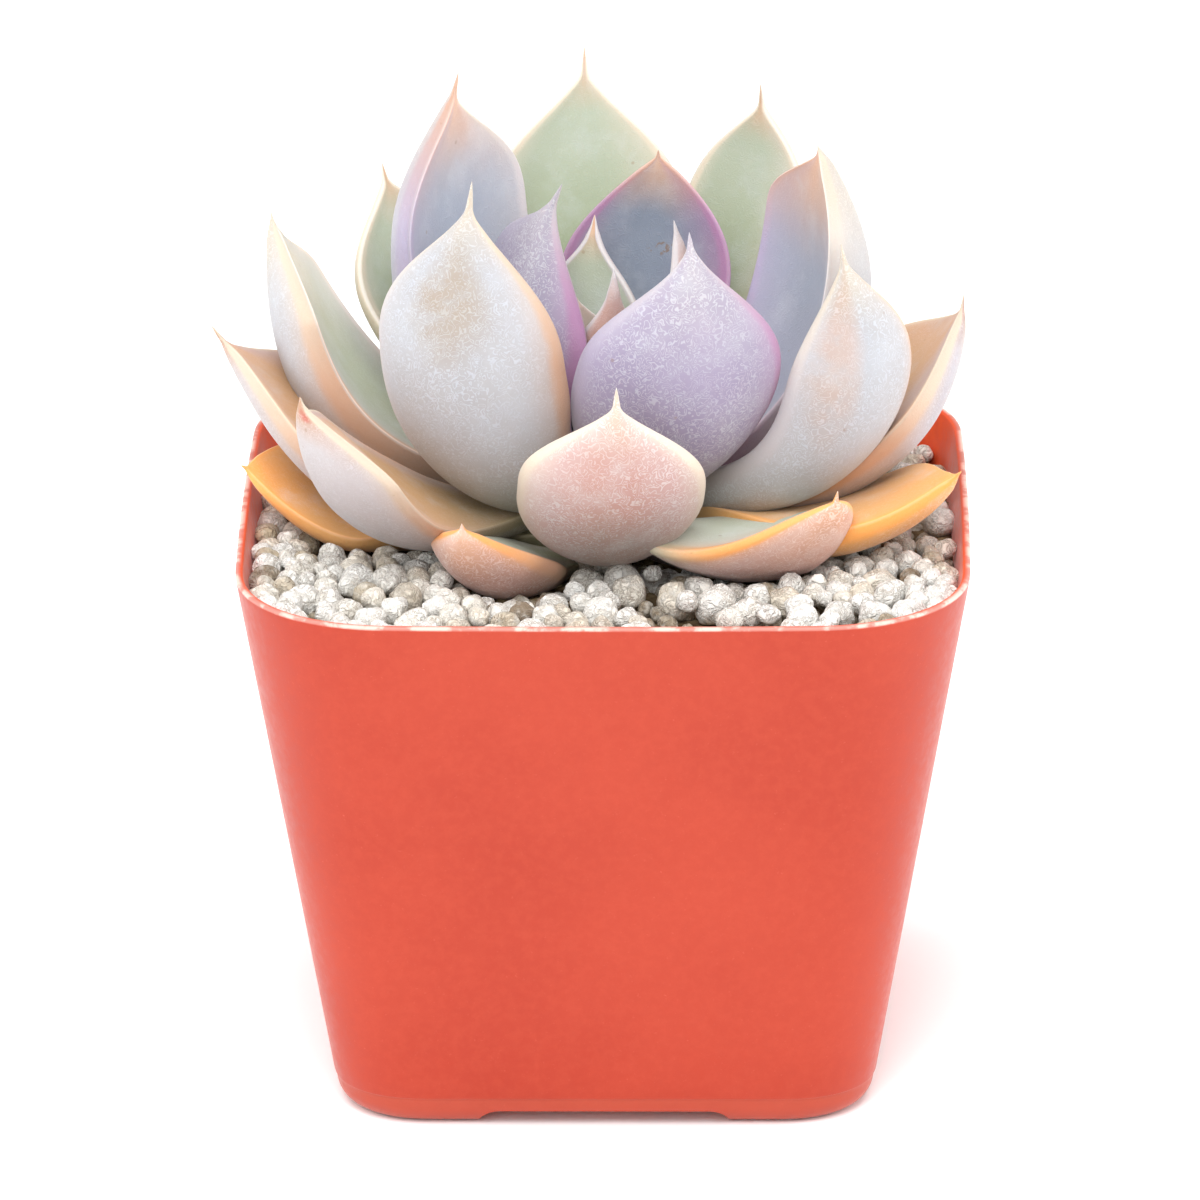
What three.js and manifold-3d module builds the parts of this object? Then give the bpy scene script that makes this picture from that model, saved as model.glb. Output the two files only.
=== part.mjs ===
// Potted mensa echeveria: a thick-leaved rosette in a square tapered plastic pot, dressed with pumice.
// Millimetres, +Z up. Origin: centre of the bounding box, on the plane the four feet stand on.
import * as THREE from 'three';
import * as BufferGeometryUtils from 'three/addons/utils/BufferGeometryUtils.js';
import Module from 'manifold-3d';

const wasm = await Module();
wasm.setup();

// ---------------------------------------------------------------- driving dimensions
const RIM_W = 70.0;          // outer width across the rim
const BASE_W = 52.3;         // outer width across the feet
const POT_H = 55.5;          // feet to rim
const WALL = 0.75;           // wall thickness
const FLOOR_Z = 1.6;         // underside of the floor, and height of the notches
const FLOOR_T = 1.2;         // floor thickness
const CORNER_TOP = 15.3;     // extent of the rounded corner at the rim
const CORNER_BOT = 9.2;      // extent of the rounded corner at the feet
const CORNER_N = 2.27;       // superellipse exponent of the corners
const BULGE = 0.65;          // outward crown of each side at the rim
const FOOT_W = 5.4;          // width of the L-shaped feet
const FOOT_FILLET = 2.0;     // rounding at the bottom edge
const NOTCH_TOP = 20.2;      // notch width at its top
const NOTCH_BOT = 24.8;      // notch width at the floor
const DRAIN_R = 1.8;         // drain holes
const GAP = 0.32;            // clearance between touching pieces
const SOIL_TOP = POT_H - 7.6;
const STEM_X = -0.3, STEM_Y = -0.6;
const OFFSET_X = 1.4820, OFFSET_Y = 0;   // pot axis to the origin

// Leaves, from the centre outwards. Angles in degrees, lengths in mm, heights from the rim plane.
// azimuth (0 towards -Y, 90 towards +X), distance of the base from the stem axis, height of the base, length,
// elevation at base, middle and tip, sideways bend, twist at base and tip, half width, station of the widest point,
// width ratio at the base, tip sharpness, cupping, thickness, tip spine share, curl exponent, asymmetry, cup exponent,
// shoulder exponent, how far the upper face is filled up level with the margins, shift towards the front
const LEAVES = [
  ['leaf_centre_5', 175, 0.9, 7.2, 9.5, 76, 88, 98, 0, 0, 0, 2.5, 0.58, 0.42, 1.7, 0.34, 1.5, 0.035, 1, 0, 2, 2.6, 0.15, 0],
  ['leaf_centre_4', 60, 1, 6.8, 11, 72, 86, 96, 0, 0, 0, 2.9, 0.58, 0.42, 1.7, 0.34, 1.7, 0.035, 1, 0, 2, 2.6, 0.15, 0],
  ['leaf_centre_3', -45, 1.2, 6.3, 13, 70, 84, 94, 0, 0, 0, 3.4, 0.58, 0.42, 1.7, 0.34, 1.9, 0.035, 1, 0, 2, 2.6, 0.15, 0],
  ['leaf_centre_2', -125, 1.2, 6, 15, 68, 84, 94, 0, 0, 0, 3.8, 0.58, 0.42, 1.7, 0.34, 2, 0.035, 1, 0, 2, 2.6, 0.15, 0],
  ['leaf_centre_1', 105, 1.3, 5, 13.5, 66, 82, 92, 0, 0, 0, 4.2, 0.58, 0.42, 1.7, 0.34, 2.2, 0.035, 1, 0, 2, 2.6, 0.15, 0],
  ['leaf_heart_front', 8.826, 1.521, 5.036, 23.085, 70.47, 68.451, 97.739, 3.398, 0.292, 2.133, 3.182, 0.565, 0.42, 2.262, 0.401, 1.94, 0.067, 1.025, -0.039, 2, 1.884, 0.15, 0],
  ['leaf_heart_back', -171.169, 1.542, 4.005, 24.126, 55.305, 72.591, 81.137, -13.539, -0.793, -9.948, 5.79, 0.562, 0.42, 2.021, 0.412, 2.581, 0.042, 1.018, 0.152, 1.994, 1.901, 0.15, 0],
  ['leaf_heart_right', 80.639, 1.562, 3.752, 27.95, 38.095, 83.554, 101.83, 2.55, 0.041, 5.323, 4.106, 0.571, 0.42, 1.817, 0.316, 2.138, 0.047, 1.089, -0.002, 2.01, 2.475, 0.15, 0],
  ['leaf_inner_left', -90.222, 1.502, 3.067, 33.842, 24.639, 96.118, 114.999, -2.05, 7.097, 32.953, 11.216, 0.585, 0.42, 2.084, 0.251, 2.935, 0.056, 1.096, -0.067, 2.023, 2.471, 0.15, 0],
  ['leaf_inner_back', 162.31, 1.538, 3.45, 32.754, 44.056, 55.613, 87.965, 0.516, 2.505, 12.593, 8.026, 0.556, 0.42, 1.077, 0.346, 3.362, 0.023, 1.039, -0.044, 2.001, 2.422, 0.15, 0],
  ['leaf_inner_front_right', 24.369, 2.424, 2.122, 40.765, 15.241, 67.324, 100, 2.636, -8.628, -23.536, 9.329, 0.572, 0.38, 2.056, 0.225, 4.319, 0.034, 1.179, -0.016, 1.968, 2.884, 0.15, 0],
  ['leaf_inner_front_left', -43.667, 2.693, 2.757, 45.545, -4.753, 82.687, 99.996, 4.718, 21.885, 18.378, 9.068, 0.602, 0.389, 1.728, 0.172, 4.037, 0.061, 1.204, 0.053, 2.041, 2.937, 0.15, 0],
  ['leaf_inner_back_left', -119.558, 2.626, 2.492, 47.854, 10.548, 83.868, 105, 2.014, 1.495, -1.576, 10.783, 0.68, 0.419, 1.984, 0.241, 5.005, 0.048, 1.187, -0.009, 2.065, 2.966, 0.25, 0],
  ['leaf_inner_right', 97.144, 2.635, 1.882, 47.61, -2.485, 73.908, 112.586, -3.562, 9.819, 13.319, 9.936, 0.82, 0.384, 2.14, 0.423, 5.161, 0.01, 1.235, 0.15, 2.063, 3.081, 0.3, 0],
  ['leaf_mid_front_right', 65.686, 3.025, 3.188, 45.706, -7.975, 82.367, 99.819, -5.193, -11.941, -42.208, 6.245, 0.666, 0.391, 1.876, 0.145, 3.615, 0.038, 1.844, 0.053, 2.07, 2.83, 0.3, 0],
  ['leaf_mid_left', -104.974, 3.896, 2.613, 46.531, -16.704, 61.235, 83.113, 2.749, -5.07, 20.614, 10.688, 0.808, 0.291, 2.373, 0.217, 5.434, 0.02, 1.523, 0.006, 1.834, 2.032, 0.45, 0],
  ['leaf_mid_back', 184.281, 2.515, 1.241, 47.883, 23.408, 49.566, 70.201, -1.969, 0.486, -8.813, 9.523, 0.589, 0.42, 1.645, 0.377, 4.611, 0.052, 0.957, -0.007, 2, 2.847, 0.15, 0],
  ['leaf_mid_back_right', 150.918, 2.662, 1.204, 46.675, 25.739, 46.986, 99.949, -6.641, -0.231, 3.722, 5.927, 0.679, 0.42, 1.684, 0.319, 4.517, 0.046, 1.06, -0.096, 1.999, 4.003, 0.15, 0],
  ['leaf_mid_back_left', -134.304, 2.523, 0.118, 42.162, 16.473, 40.937, 77.482, -5.294, -0.141, -1.849, 10.085, 0.585, 0.42, 1.585, 0.376, 4.594, 0.038, 0.99, 0.015, 2.004, 2.814, 0.15, 0],
  ['leaf_mid_rear_left', -160, 2.5, -0.5, 39, 8, 32, 55, 0, 0, 0, 9.8, 0.58, 0.42, 1.6, 0.34, 4.5, 0.035, 1, 0, 2, 2.6, 0.3, 0],
  ['leaf_mid_rear_right', 130, 2.5, -0.5, 34, 8, 27, 45, 0, 0, 0, 8.2, 0.58, 0.42, 1.6, 0.34, 4.2, 0.035, 1, 0, 2, 2.6, 0.3, 0],
  ['leaf_outer_front', 3.738, 4.982, -1.254, 33.088, -2.876, 51.284, 89.059, 1.413, 1.99, -5.661, 8.501, 0.56, 0.472, 1.853, 0.12, 3.753, 0.062, 1.044, -0.023, 2.019, 3.528, 0.25, 2.6],
  ['leaf_outer_right', 103.144, 2.633, -0.867, 43.342, 2.83, 26.617, 89.019, -17.349, 17.801, 0.045, 11.117, 0.67, 0.417, 1.49, 0.229, 4.889, 0.038, 1.005, 0.003, 2.118, 3.223, 0.7, 0],
  ['leaf_outer_left', -101.465, 2.511, -2.449, 43.279, -6.898, 29.818, 57.85, 13.173, -18.743, 4.783, 11.472, 0.619, 0.42, 1.787, 0.104, 5.218, 0.051, 1.001, -0.04, 1.961, 2.971, 0.9, 0],
  ['leaf_outer_front_left', -76.509, 4.42, 0.429, 39.935, -23.334, 28.359, 84.592, 49.999, -4.8, -30.168, 7.422, 0.82, 0.21, 2.459, 0.647, 2.207, 0.013, 0.997, 0.398, 1.553, 2.615, 1, 1.8],
  ['leaf_low_right', 80.7, 3.106, -3.956, 37.67, 8.558, 15.981, 49.972, -27.527, -35.977, 20.211, 9.686, 0.654, 0.347, 1.32, 0.015, 5.174, 0.021, 1.13, 0.021, 1.987, 1.516, 1, 0],
  ['leaf_low_left', -103.656, 3.461, -3.452, 34.602, 0.022, 12.614, 40.317, 41.273, 28.568, -27.351, 9.427, 0.675, 0.348, 0.924, -0.065, 4.759, 0.022, 1.106, -0.028, 2.003, 1.502, 1, -2.2],
  ['leaf_low_front_right', 61.869, 5.868, -4.381, 33.102, 2.252, 22.31, 76.342, -47.128, -24.983, 16.43, 10.967, 0.425, 0.208, 0.665, 0.357, 2.2, 0.045, 1.048, -0.449, 1.781, 1.802, 1, -2],
  ['leaf_low_front_left', -45.003, 5.37, -5.588, 24.464, 1.431, 24.537, 77.096, 38.147, -11.691, -5.421, 5.489, 0.529, 0.376, 1.143, 0.472, 2.385, 0.032, 0.996, 0.017, 2.079, 2.921, 1, 1.6],
  ['leaf_low_back_right', 128, 2.6, -3.5, 37, -3, 10, 38, 0, 0, 0, 9.6, 0.58, 0.42, 1.6, 0.34, 4.3, 0.035, 1, 0, 2, 2.6, 0.5, 0],
  ['leaf_low_back', 168, 2.6, -4, 35, -4, 8, 35, 3, 0, 0, 9.4, 0.58, 0.42, 1.6, 0.34, 4.2, 0.035, 1, 0, 2, 2.6, 0.5, 0],
  ['leaf_low_rear_left', -153, 2.6, -3.2, 37, -2, 12, 40, -3, 0, 0, 9.8, 0.58, 0.42, 1.6, 0.34, 4.4, 0.035, 1, 0, 2, 2.6, 0.5, 0],
  ['leaf_low_back_left', -124, 2.6, -4.2, 35, -5, 6, 30, 0, 0, 0, 9.2, 0.58, 0.42, 1.6, 0.34, 4.2, 0.035, 1, 0, 2, 2.6, 0.5, 0],
];

// mean colour of each piece
const COLOURS = {
  pot: '#e25c44',
  stem_and_roots: '#8f7a52',
  potting_soil: '#4a382c',
  pumice_top_dressing: '#d9d2c4',
  leaf_centre_5: '#c8a898',
  leaf_centre_4: '#b9a99c',
  leaf_centre_3: '#b9a9a0',
  leaf_centre_2: '#b0a8a4',
  leaf_centre_1: '#a9a8a2',
  leaf_heart_front: '#b98f84',
  leaf_heart_back: '#94a8a2',
  leaf_heart_right: '#d4b3a4',
  leaf_inner_left: '#a796b0',
  leaf_inner_back: '#9c90ae',
  leaf_inner_front_right: '#c3bccf',
  leaf_inner_front_left: '#cdc8d6',
  leaf_inner_back_left: '#a9aec0',
  leaf_inner_right: '#a7afbe',
  leaf_mid_front_right: '#dccdc0',
  leaf_mid_left: '#dccfc8',
  leaf_mid_back: '#bcc0a2',
  leaf_mid_back_right: '#b4bb98',
  leaf_mid_back_left: '#a5a67e',
  leaf_mid_rear_left: '#a9a882',
  leaf_mid_rear_right: '#a9a882',
  leaf_outer_front: '#dea488',
  leaf_outer_right: '#b3a67a',
  leaf_outer_left: '#c4a578',
  leaf_outer_front_left: '#d5b9b0',
  leaf_low_right: '#d5a35a',
  leaf_low_left: '#dba550',
  leaf_low_front_right: '#c99a86',
  leaf_low_front_left: '#e0aa80',
  leaf_low_back_right: '#c2a568',
  leaf_low_back: '#bda268',
  leaf_low_rear_left: '#bda268',
  leaf_low_back_left: '#c4a466',
};

// ---------------------------------------------------------------- helpers
const clamp = (x, a, b) => Math.min(b, Math.max(a, x));
const rad = Math.PI / 180;

function geometryOf(positions, index) {
  const g = new THREE.BufferGeometry();
  g.setAttribute('position', new THREE.Float32BufferAttribute(positions, 3));
  g.setIndex(index);
  return g;
}
function toSolid(geometry) {
  let g = geometry.index ? geometry.clone() : geometry;
  g.deleteAttribute('normal'); g.deleteAttribute('uv');
  g = BufferGeometryUtils.mergeVertices(g, 1e-4);
  const p = g.attributes.position.array, ix = g.index.array, tri = [];
  for (let i = 0; i < ix.length; i += 3) {
    if (ix[i] !== ix[i + 1] && ix[i + 1] !== ix[i + 2] && ix[i] !== ix[i + 2]) tri.push(ix[i], ix[i + 1], ix[i + 2]);
  }
  return new wasm.Manifold(new wasm.Mesh({ numProp: 3, vertProperties: Float32Array.from(p), triVerts: Uint32Array.from(tri) }));
}
// largest connected body of a solid, as a geometry
function toGeometry(solid) {
  const m = solid.getMesh();
  const np = m.numProp, vp = m.vertProperties, tv = m.triVerts;
  const pos = [];
  for (let i = 0; i < vp.length; i += np) pos.push(vp[i], vp[i + 1], vp[i + 2]);
  let g = geometryOf(pos, Array.from(tv));
  g = BufferGeometryUtils.mergeVertices(g, 1e-5);
  const ix = g.index.array, n = g.attributes.position.count;
  const parent = Array.from({ length: n }, (_, i) => i);
  const find = (a) => { while (parent[a] !== a) { parent[a] = parent[parent[a]]; a = parent[a]; } return a; };
  for (let i = 0; i < ix.length; i += 3) { parent[find(ix[i])] = find(ix[i + 1]); parent[find(ix[i + 1])] = find(ix[i + 2]); }
  const P = g.attributes.position, vol = new Map();
  const a = new THREE.Vector3(), b = new THREE.Vector3(), c = new THREE.Vector3();
  for (let i = 0; i < ix.length; i += 3) {
    a.fromBufferAttribute(P, ix[i]); b.fromBufferAttribute(P, ix[i + 1]); c.fromBufferAttribute(P, ix[i + 2]);
    const r = find(ix[i]);
    vol.set(r, (vol.get(r) || 0) + a.dot(b.clone().cross(c)) / 6);
  }
  let best = -1, bestV = -1;
  for (const [r, v] of vol) if (v > bestV) { bestV = v; best = r; }
  const keep = [];
  for (let i = 0; i < ix.length; i += 3) if (find(ix[i]) === best) keep.push(ix[i], ix[i + 1], ix[i + 2]);
  const map = new Map(), out = [], idx = [];
  for (const k of keep) {
    if (!map.has(k)) { map.set(k, out.length / 3); out.push(P.getX(k), P.getY(k), P.getZ(k)); }
    idx.push(map.get(k));
  }
  return geometryOf(out, idx);
}
// closed loft through rings with equal point counts, ordered counter-clockwise seen from the last ring's side
function loft(rings, tipPoint = null) {
  const n = rings[0].length, pos = [], idx = [];
  for (const r of rings) for (const p of r) pos.push(p[0], p[1], p[2]);
  const m = rings.length;
  for (let k = 0; k + 1 < m; k++) for (let i = 0; i < n; i++) {
    const j = (i + 1) % n, A = k * n + i, B = k * n + j, C = (k + 1) * n + i, D = (k + 1) * n + j;
    idx.push(A, B, D, A, D, C);
  }
  const centre = (r) => r.reduce((s, p) => [s[0] + p[0] / n, s[1] + p[1] / n, s[2] + p[2] / n], [0, 0, 0]);
  const c0 = pos.length / 3; pos.push(...centre(rings[0]));
  for (let i = 0; i < n; i++) idx.push(c0, (i + 1) % n, i);
  const c1 = pos.length / 3; pos.push(...(tipPoint || centre(rings[m - 1])));
  for (let i = 0; i < n; i++) idx.push(c1, (m - 1) * n + i, (m - 1) * n + (i + 1) % n);
  return geometryOf(pos, idx);
}

// ---------------------------------------------------------------- pot
const CORNER_STEPS = 5, SIDE_STEPS = 2;
function squareRing(w, c, bulge, z, n = CORNER_N) {
  const h = w / 2, q = [];
  for (let i = 0; i <= CORNER_STEPS; i++) {
    const t = (i / CORNER_STEPS) * Math.PI / 2;
    q.push([h - c + c * Math.pow(Math.cos(t), 2 / n), h - c + c * Math.pow(Math.max(0, Math.sin(t)), 2 / n)]);
  }
  // first quadrant corner, then the top side's inner points, quarter by quarter
  const pts = [];
  for (let k = 0; k < 4; k++) {
    const ca = Math.round(Math.cos(k * Math.PI / 2)), sa = Math.round(Math.sin(k * Math.PI / 2));
    const quarter = q.slice();
    for (let s = 1; s < SIDE_STEPS; s++) quarter.push([(h - c) * (1 - 2 * s / SIDE_STEPS), h]);
    for (const [x, y] of quarter) pts.push([ca * x - sa * y, sa * x + ca * y]);
  }
  return pts.map(([x, y]) => {
    const bx = bulge * (1 - (y / h) ** 2) * Math.abs(x / h) ** 6, by = bulge * (1 - (x / h) ** 2) * Math.abs(y / h) ** 6;
    return [x + Math.sign(x) * bx, y + Math.sign(y) * by, z];
  });
}
function potRing(z, inset) {
  const t = z / POT_H;
  const w = BASE_W + (RIM_W - BASE_W) * t - 2 * inset;
  const c = Math.max(3, CORNER_BOT + (CORNER_TOP - CORNER_BOT) * t - inset * 0.8);
  return squareRing(w, c, BULGE * clamp(t, 0, 1.2), z);
}
function notchShape() {
  const s = new THREE.Shape(), a = NOTCH_TOP / 2, b = NOTCH_BOT / 2, z = FLOOR_Z, u = (b - a) / 2;
  s.moveTo(-b - 1.2, -1); s.lineTo(b + 1.2, -1); s.lineTo(b, 0);
  s.quadraticCurveTo(a + u, 0.05, a + u * 0.9, z * 0.5);
  s.quadraticCurveTo(a + u * 0.6, z, a, z);
  s.lineTo(-a, z);
  s.quadraticCurveTo(-a - u * 0.6, z, -a - u * 0.9, z * 0.5);
  s.quadraticCurveTo(-a - u, 0.05, -b, 0);
  s.closePath();
  return s;
}
function buildPot() {
  const outer = [];
  for (const k of [0, 1, 2, 3]) {
    const a = (k / 3) * Math.PI / 2;
    outer.push(potRing(FOOT_FILLET * (1 - Math.sin(a)), FOOT_FILLET * (1 - Math.cos(a)) + 0.14));
  }
  outer.reverse();
  const rings = outer.slice();                                   // from the bottom edge up through the rounding
  rings.sort((p, q) => p[0][2] - q[0][2]);
  rings.push(potRing(3.1, 0.14), potRing(3.3, 0), potRing(POT_H - 0.2, 0), potRing(POT_H, 0.2));
  const body = toSolid(loft(rings));
  const floorTop = FLOOR_Z + FLOOR_T;
  const cavity = toSolid(loft([potRing(floorTop, WALL + 1.0), potRing(floorTop + 1.0, WALL + 0.05), potRing(POT_H - 0.2, WALL), potRing(POT_H, WALL - 0.2), potRing(POT_H + 2, WALL - 0.2)]));
  const under = toSolid(loft([potRing(-1, FOOT_W), potRing(FLOOR_Z, FOOT_W)]));
  const notchGeo = () => new THREE.ExtrudeGeometry(notchShape(), { depth: RIM_W + 20, bevelEnabled: false, curveSegments: 3, steps: 1 });
  const nx = notchGeo(); nx.translate(0, 0, -(RIM_W + 20) / 2); nx.rotateX(Math.PI / 2);
  const ny = nx.clone(); ny.rotateZ(Math.PI / 2);
  let pot = body.subtract(cavity).subtract(under).subtract(toSolid(nx)).subtract(toSolid(ny));
  for (const [x, y] of [[0, 0], [12, 12], [-12, 12], [12, -12], [-12, -12]]) {
    const h = new THREE.CylinderGeometry(DRAIN_R, DRAIN_R, 8, 10); h.rotateX(Math.PI / 2); h.translate(x, y, 2);
    pot = pot.subtract(toSolid(h));
  }
  return pot;
}

// ---------------------------------------------------------------- stem and roots
function lathe(profile, seg) {
  const g = new THREE.LatheGeometry(profile.map(([r, z]) => new THREE.Vector2(r, z)), seg);
  g.rotateX(Math.PI / 2);
  g.translate(STEM_X, STEM_Y, 0);
  return g;
}
function buildStem(grow) {
  const H = POT_H, e = grow;
  let s = toSolid(lathe([[0, H - 30 - e], [0.6 + e, H - 30 - e], [2.0 + e, H - 17], [3.8 + e, H - 10], [4.1 + e, H - 2], [3.0 + e, H + 2.5], [1.7 + e, H + 5.5], [0.6 + e, H + 7.5 + e], [0, H + 7.5 + e]], 9));
  for (let k = 0; k < 6; k++) {
    const a = k * 137.5 * rad, z0 = H - 11 - k * 1.6, len = 13 + (k % 3) * 3.5, drop = 10 + (k * 5) % 9;
    const pts = [];
    for (let i = 0; i <= 3; i++) {
      const t = i / 3;
      pts.push(new THREE.Vector3(STEM_X + Math.cos(a + t * 0.5) * (1 + len * t), STEM_Y + Math.sin(a + t * 0.5) * (1 + len * t), z0 - drop * t * t));
    }
    const r = 0.6 + e, sec = new THREE.Shape();
    for (let i = 0; i < 5; i++) { const q = i * Math.PI * 0.4; if (i) sec.lineTo(r * Math.cos(q), r * Math.sin(q)); else sec.moveTo(r, 0); }
    sec.closePath();
    const g = new THREE.ExtrudeGeometry(sec, { steps: 4, bevelEnabled: false, extrudePath: new THREE.CatmullRomCurve3(pts) });
    s = s.add(toSolid(g));
  }
  return s;
}

// ---------------------------------------------------------------- leaves
function leafSolid(row, grow, coarse) {
  const [name, az, r0, z0, L, ta, tb, tc, bend, tw0, tw1, W, sm, b, p, cup, T, mu, g, as, ce, q, fill, fwd] = row;
  const o = new THREE.Vector3(Math.sin(az * rad), -Math.cos(az * rad), 0);
  const l = new THREE.Vector3(Math.cos(az * rad), Math.sin(az * rad), 0);
  const k = new THREE.Vector3(0, 0, 1);
  const stations = [[0, 0.14, 0.3, 0.46, 0.6, 0.73, 0.85, 0.94, 1], [0, 0.2, 0.42, 0.62, 0.8, 0.92, 1], [0, 0.3, 0.6, 0.85, 1]][coarse];
  const half = [5, 4, 3][coarse];
  const N = 80, curve = [];
  const P = new THREE.Vector3(STEM_X, STEM_Y - 0.94 * fwd, 0.34 * fwd).addScaledVector(o, r0).addScaledVector(k, z0 + POT_H);
  const dirAt = (s) => {
    const h = Math.pow(s, g);
    const th = (ta * (2 * (h - 0.5) * (h - 1)) + tb * (-4 * h * (h - 1)) + tc * (2 * h * (h - 0.5))) * rad;
    const ps = bend * rad * s;
    const out = o.clone().multiplyScalar(Math.cos(ps)).addScaledVector(l, Math.sin(ps));
    return { d: out.clone().multiplyScalar(Math.cos(th)).addScaledVector(k, Math.sin(th)),
      n: out.clone().multiplyScalar(-Math.sin(th)).addScaledVector(k, Math.cos(th)),
      m: l.clone().multiplyScalar(Math.cos(ps)).addScaledVector(o, -Math.sin(ps)) };
  };
  curve.push(P.clone());
  for (let i = 1; i <= N; i++) { P.addScaledVector(dirAt((i - 0.5) / N).d, L / N); curve.push(P.clone()); }
  const rings = [];
  let tip = null;
  for (const s of stations) {
    const f = dirAt(s), tw = (tw0 + (tw1 - tw0) * s) * rad;
    const M = f.m.clone().multiplyScalar(Math.cos(tw)).addScaledVector(f.n, Math.sin(tw));
    const Nn = f.n.clone().multiplyScalar(Math.cos(tw)).addScaledVector(f.m, -Math.sin(tw));
    const se = s / (1 - mu);
    const up = b + (1 - b) * Math.pow(Math.sin(Math.PI / 2 * clamp(se / sm, 0, 1)), 1.3);
    const t = clamp((se - sm) / (1 - sm), 0, 1);
    const dn = Math.pow(1 - Math.pow(t, q), p);
    const tail = Math.pow(clamp((1 - s) / (mu + 0.04), 0, 1), 0.8);
    const w = W * (se < sm ? up : dn) + 0.55 * tail * clamp(s / 0.3, 0, 1) + grow;
    const sc = clamp(se, 0, 1);
    const th = T * (1 - Math.pow(sc, 2.6)) * (0.72 + 0.55 * sc) + 0.8 * tail;
    const c = cup * (0.35 + 0.65 * Math.sin(Math.PI * Math.pow(clamp(s, 0, 1), 0.75)));
    const C = curve[Math.round(s * N)].clone().addScaledVector(Nn, th / 2);
    if (s === 1) { tip = C.clone().addScaledVector(f.d, grow); if (!grow) break; }
    const ring = [];
    const add = (v, side) => {
      const sq = Math.sqrt(Math.max(0, 1 - v * v)), hA = c * w * Math.pow(Math.abs(v), ce);
      const hh = side > 0 ? hA * (1 - fill) + fill * c * w + grow * sq : hA - (th + grow) * sq;
      const x = w * v * (1 + as * Math.sign(v));
      const q3 = C.clone().addScaledVector(M, x).addScaledVector(Nn, hh);
      ring.push([q3.x, q3.y, q3.z]);
    };
    for (let i = 0; i <= half; i++) add(Math.sin(-Math.PI / 2 + Math.PI * i / half), -1);
    for (let i = half - 1; i > 0; i--) add(Math.sin(-Math.PI / 2 + Math.PI * i / half), 1);
    if (s === 1) { rings.push(ring.map(() => [tip.x, tip.y, tip.z])); break; }
    rings.push(ring);
  }
  if (grow) rings.pop();
  return toSolid(loft(rings, [tip.x, tip.y, tip.z]));
}

// ---------------------------------------------------------------- soil and pumice layer
function buildSoil(stemGrown) {
  const z0 = FLOOR_Z + FLOOR_T + GAP;
  const g = loft([potRing(z0, WALL + 1.0 + GAP), potRing(z0 + 1.2, WALL + 0.1 + GAP), potRing(SOIL_TOP, WALL + GAP)]);
  return toSolid(g).subtract(stemGrown);
}
function gravelHeight(x, y) {
  const r = Math.max(Math.abs(x), Math.abs(y)) / 34;
  const lump = 0.55 * Math.sin(x * 1.35 + 1.3 * Math.sin(y * 0.9)) * Math.cos(y * 1.45 + 0.7 * Math.sin(x * 0.8)) + 0.25 * Math.sin(x * 2.9 - y * 2.1);
  return POT_H - 2.9 + 0.9 * clamp(-y / 34, -1, 1) * clamp(r, 0, 1) + lump * 0.8;
}
function buildGravel() {
  const rings = [], bottom = SOIL_TOP + GAP;
  const base = potRing(bottom, WALL + GAP), top = potRing(POT_H - 2.4, WALL + GAP);
  rings.push(base);
  const scale = (f) => top.map(([x, y]) => { const X = x * f, Y = y * f; return [X, Y, gravelHeight(X, Y)]; });
  for (const f of [1, 0.9, 0.77, 0.62, 0.45, 0.25]) rings.push(scale(f));
  return toSolid(loft(rings, [0, 0, gravelHeight(0, 0)]));
}

// ---------------------------------------------------------------- assembly
const object = new THREE.Group();
object.name = 'potted_mensa_echeveria';
function piece(name, geometry, color, roughness) {
  geometry.computeVertexNormals();
  const mesh = new THREE.Mesh(geometry, new THREE.MeshStandardMaterial({ color: new THREE.Color(color), roughness, metalness: 0 }));
  mesh.name = name;
  mesh.position.set(OFFSET_X, OFFSET_Y, 0);
  object.add(mesh);
}
piece('pot', toGeometry(buildPot()), COLOURS.pot, 0.55);

const stem = buildStem(0), stemGrown = buildStem(GAP);
const grown = [], solids = [];
for (const row of LEAVES) {
  const coarse = row[0].startsWith('leaf_centre') ? 2 : row[0].startsWith('leaf_heart') ? 1 : 0;
  const whole = leafSolid(row, 0, coarse);
  let s = whole.subtract(stemGrown);
  for (const g of grown) s = s.subtract(g);
  grown.push(leafSolid(row, GAP, coarse).add(whole));
  solids.push([row[0], s]);
}
let gravel = buildGravel().subtract(stemGrown);
for (const g of grown.slice(LEAVES.length - 14)) gravel = gravel.subtract(g);
piece('stem_and_roots', toGeometry(stem), COLOURS.stem_and_roots, 0.8);
piece('potting_soil', toGeometry(buildSoil(stemGrown)), COLOURS.potting_soil, 0.95);
piece('pumice_top_dressing', toGeometry(gravel), COLOURS.pumice_top_dressing, 0.9);
for (const [name, s] of solids) piece(name, toGeometry(s), COLOURS[name], 0.6);

export default object;
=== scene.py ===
"""Potted mensa echeveria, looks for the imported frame. Metres; the table of leaves is in millimetres from the rim plane of the pot."""
import math

import bmesh
import bpy
import numpy as np
from mathutils import Matrix, Vector
from mathutils.bvhtree import BVHTree


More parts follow.
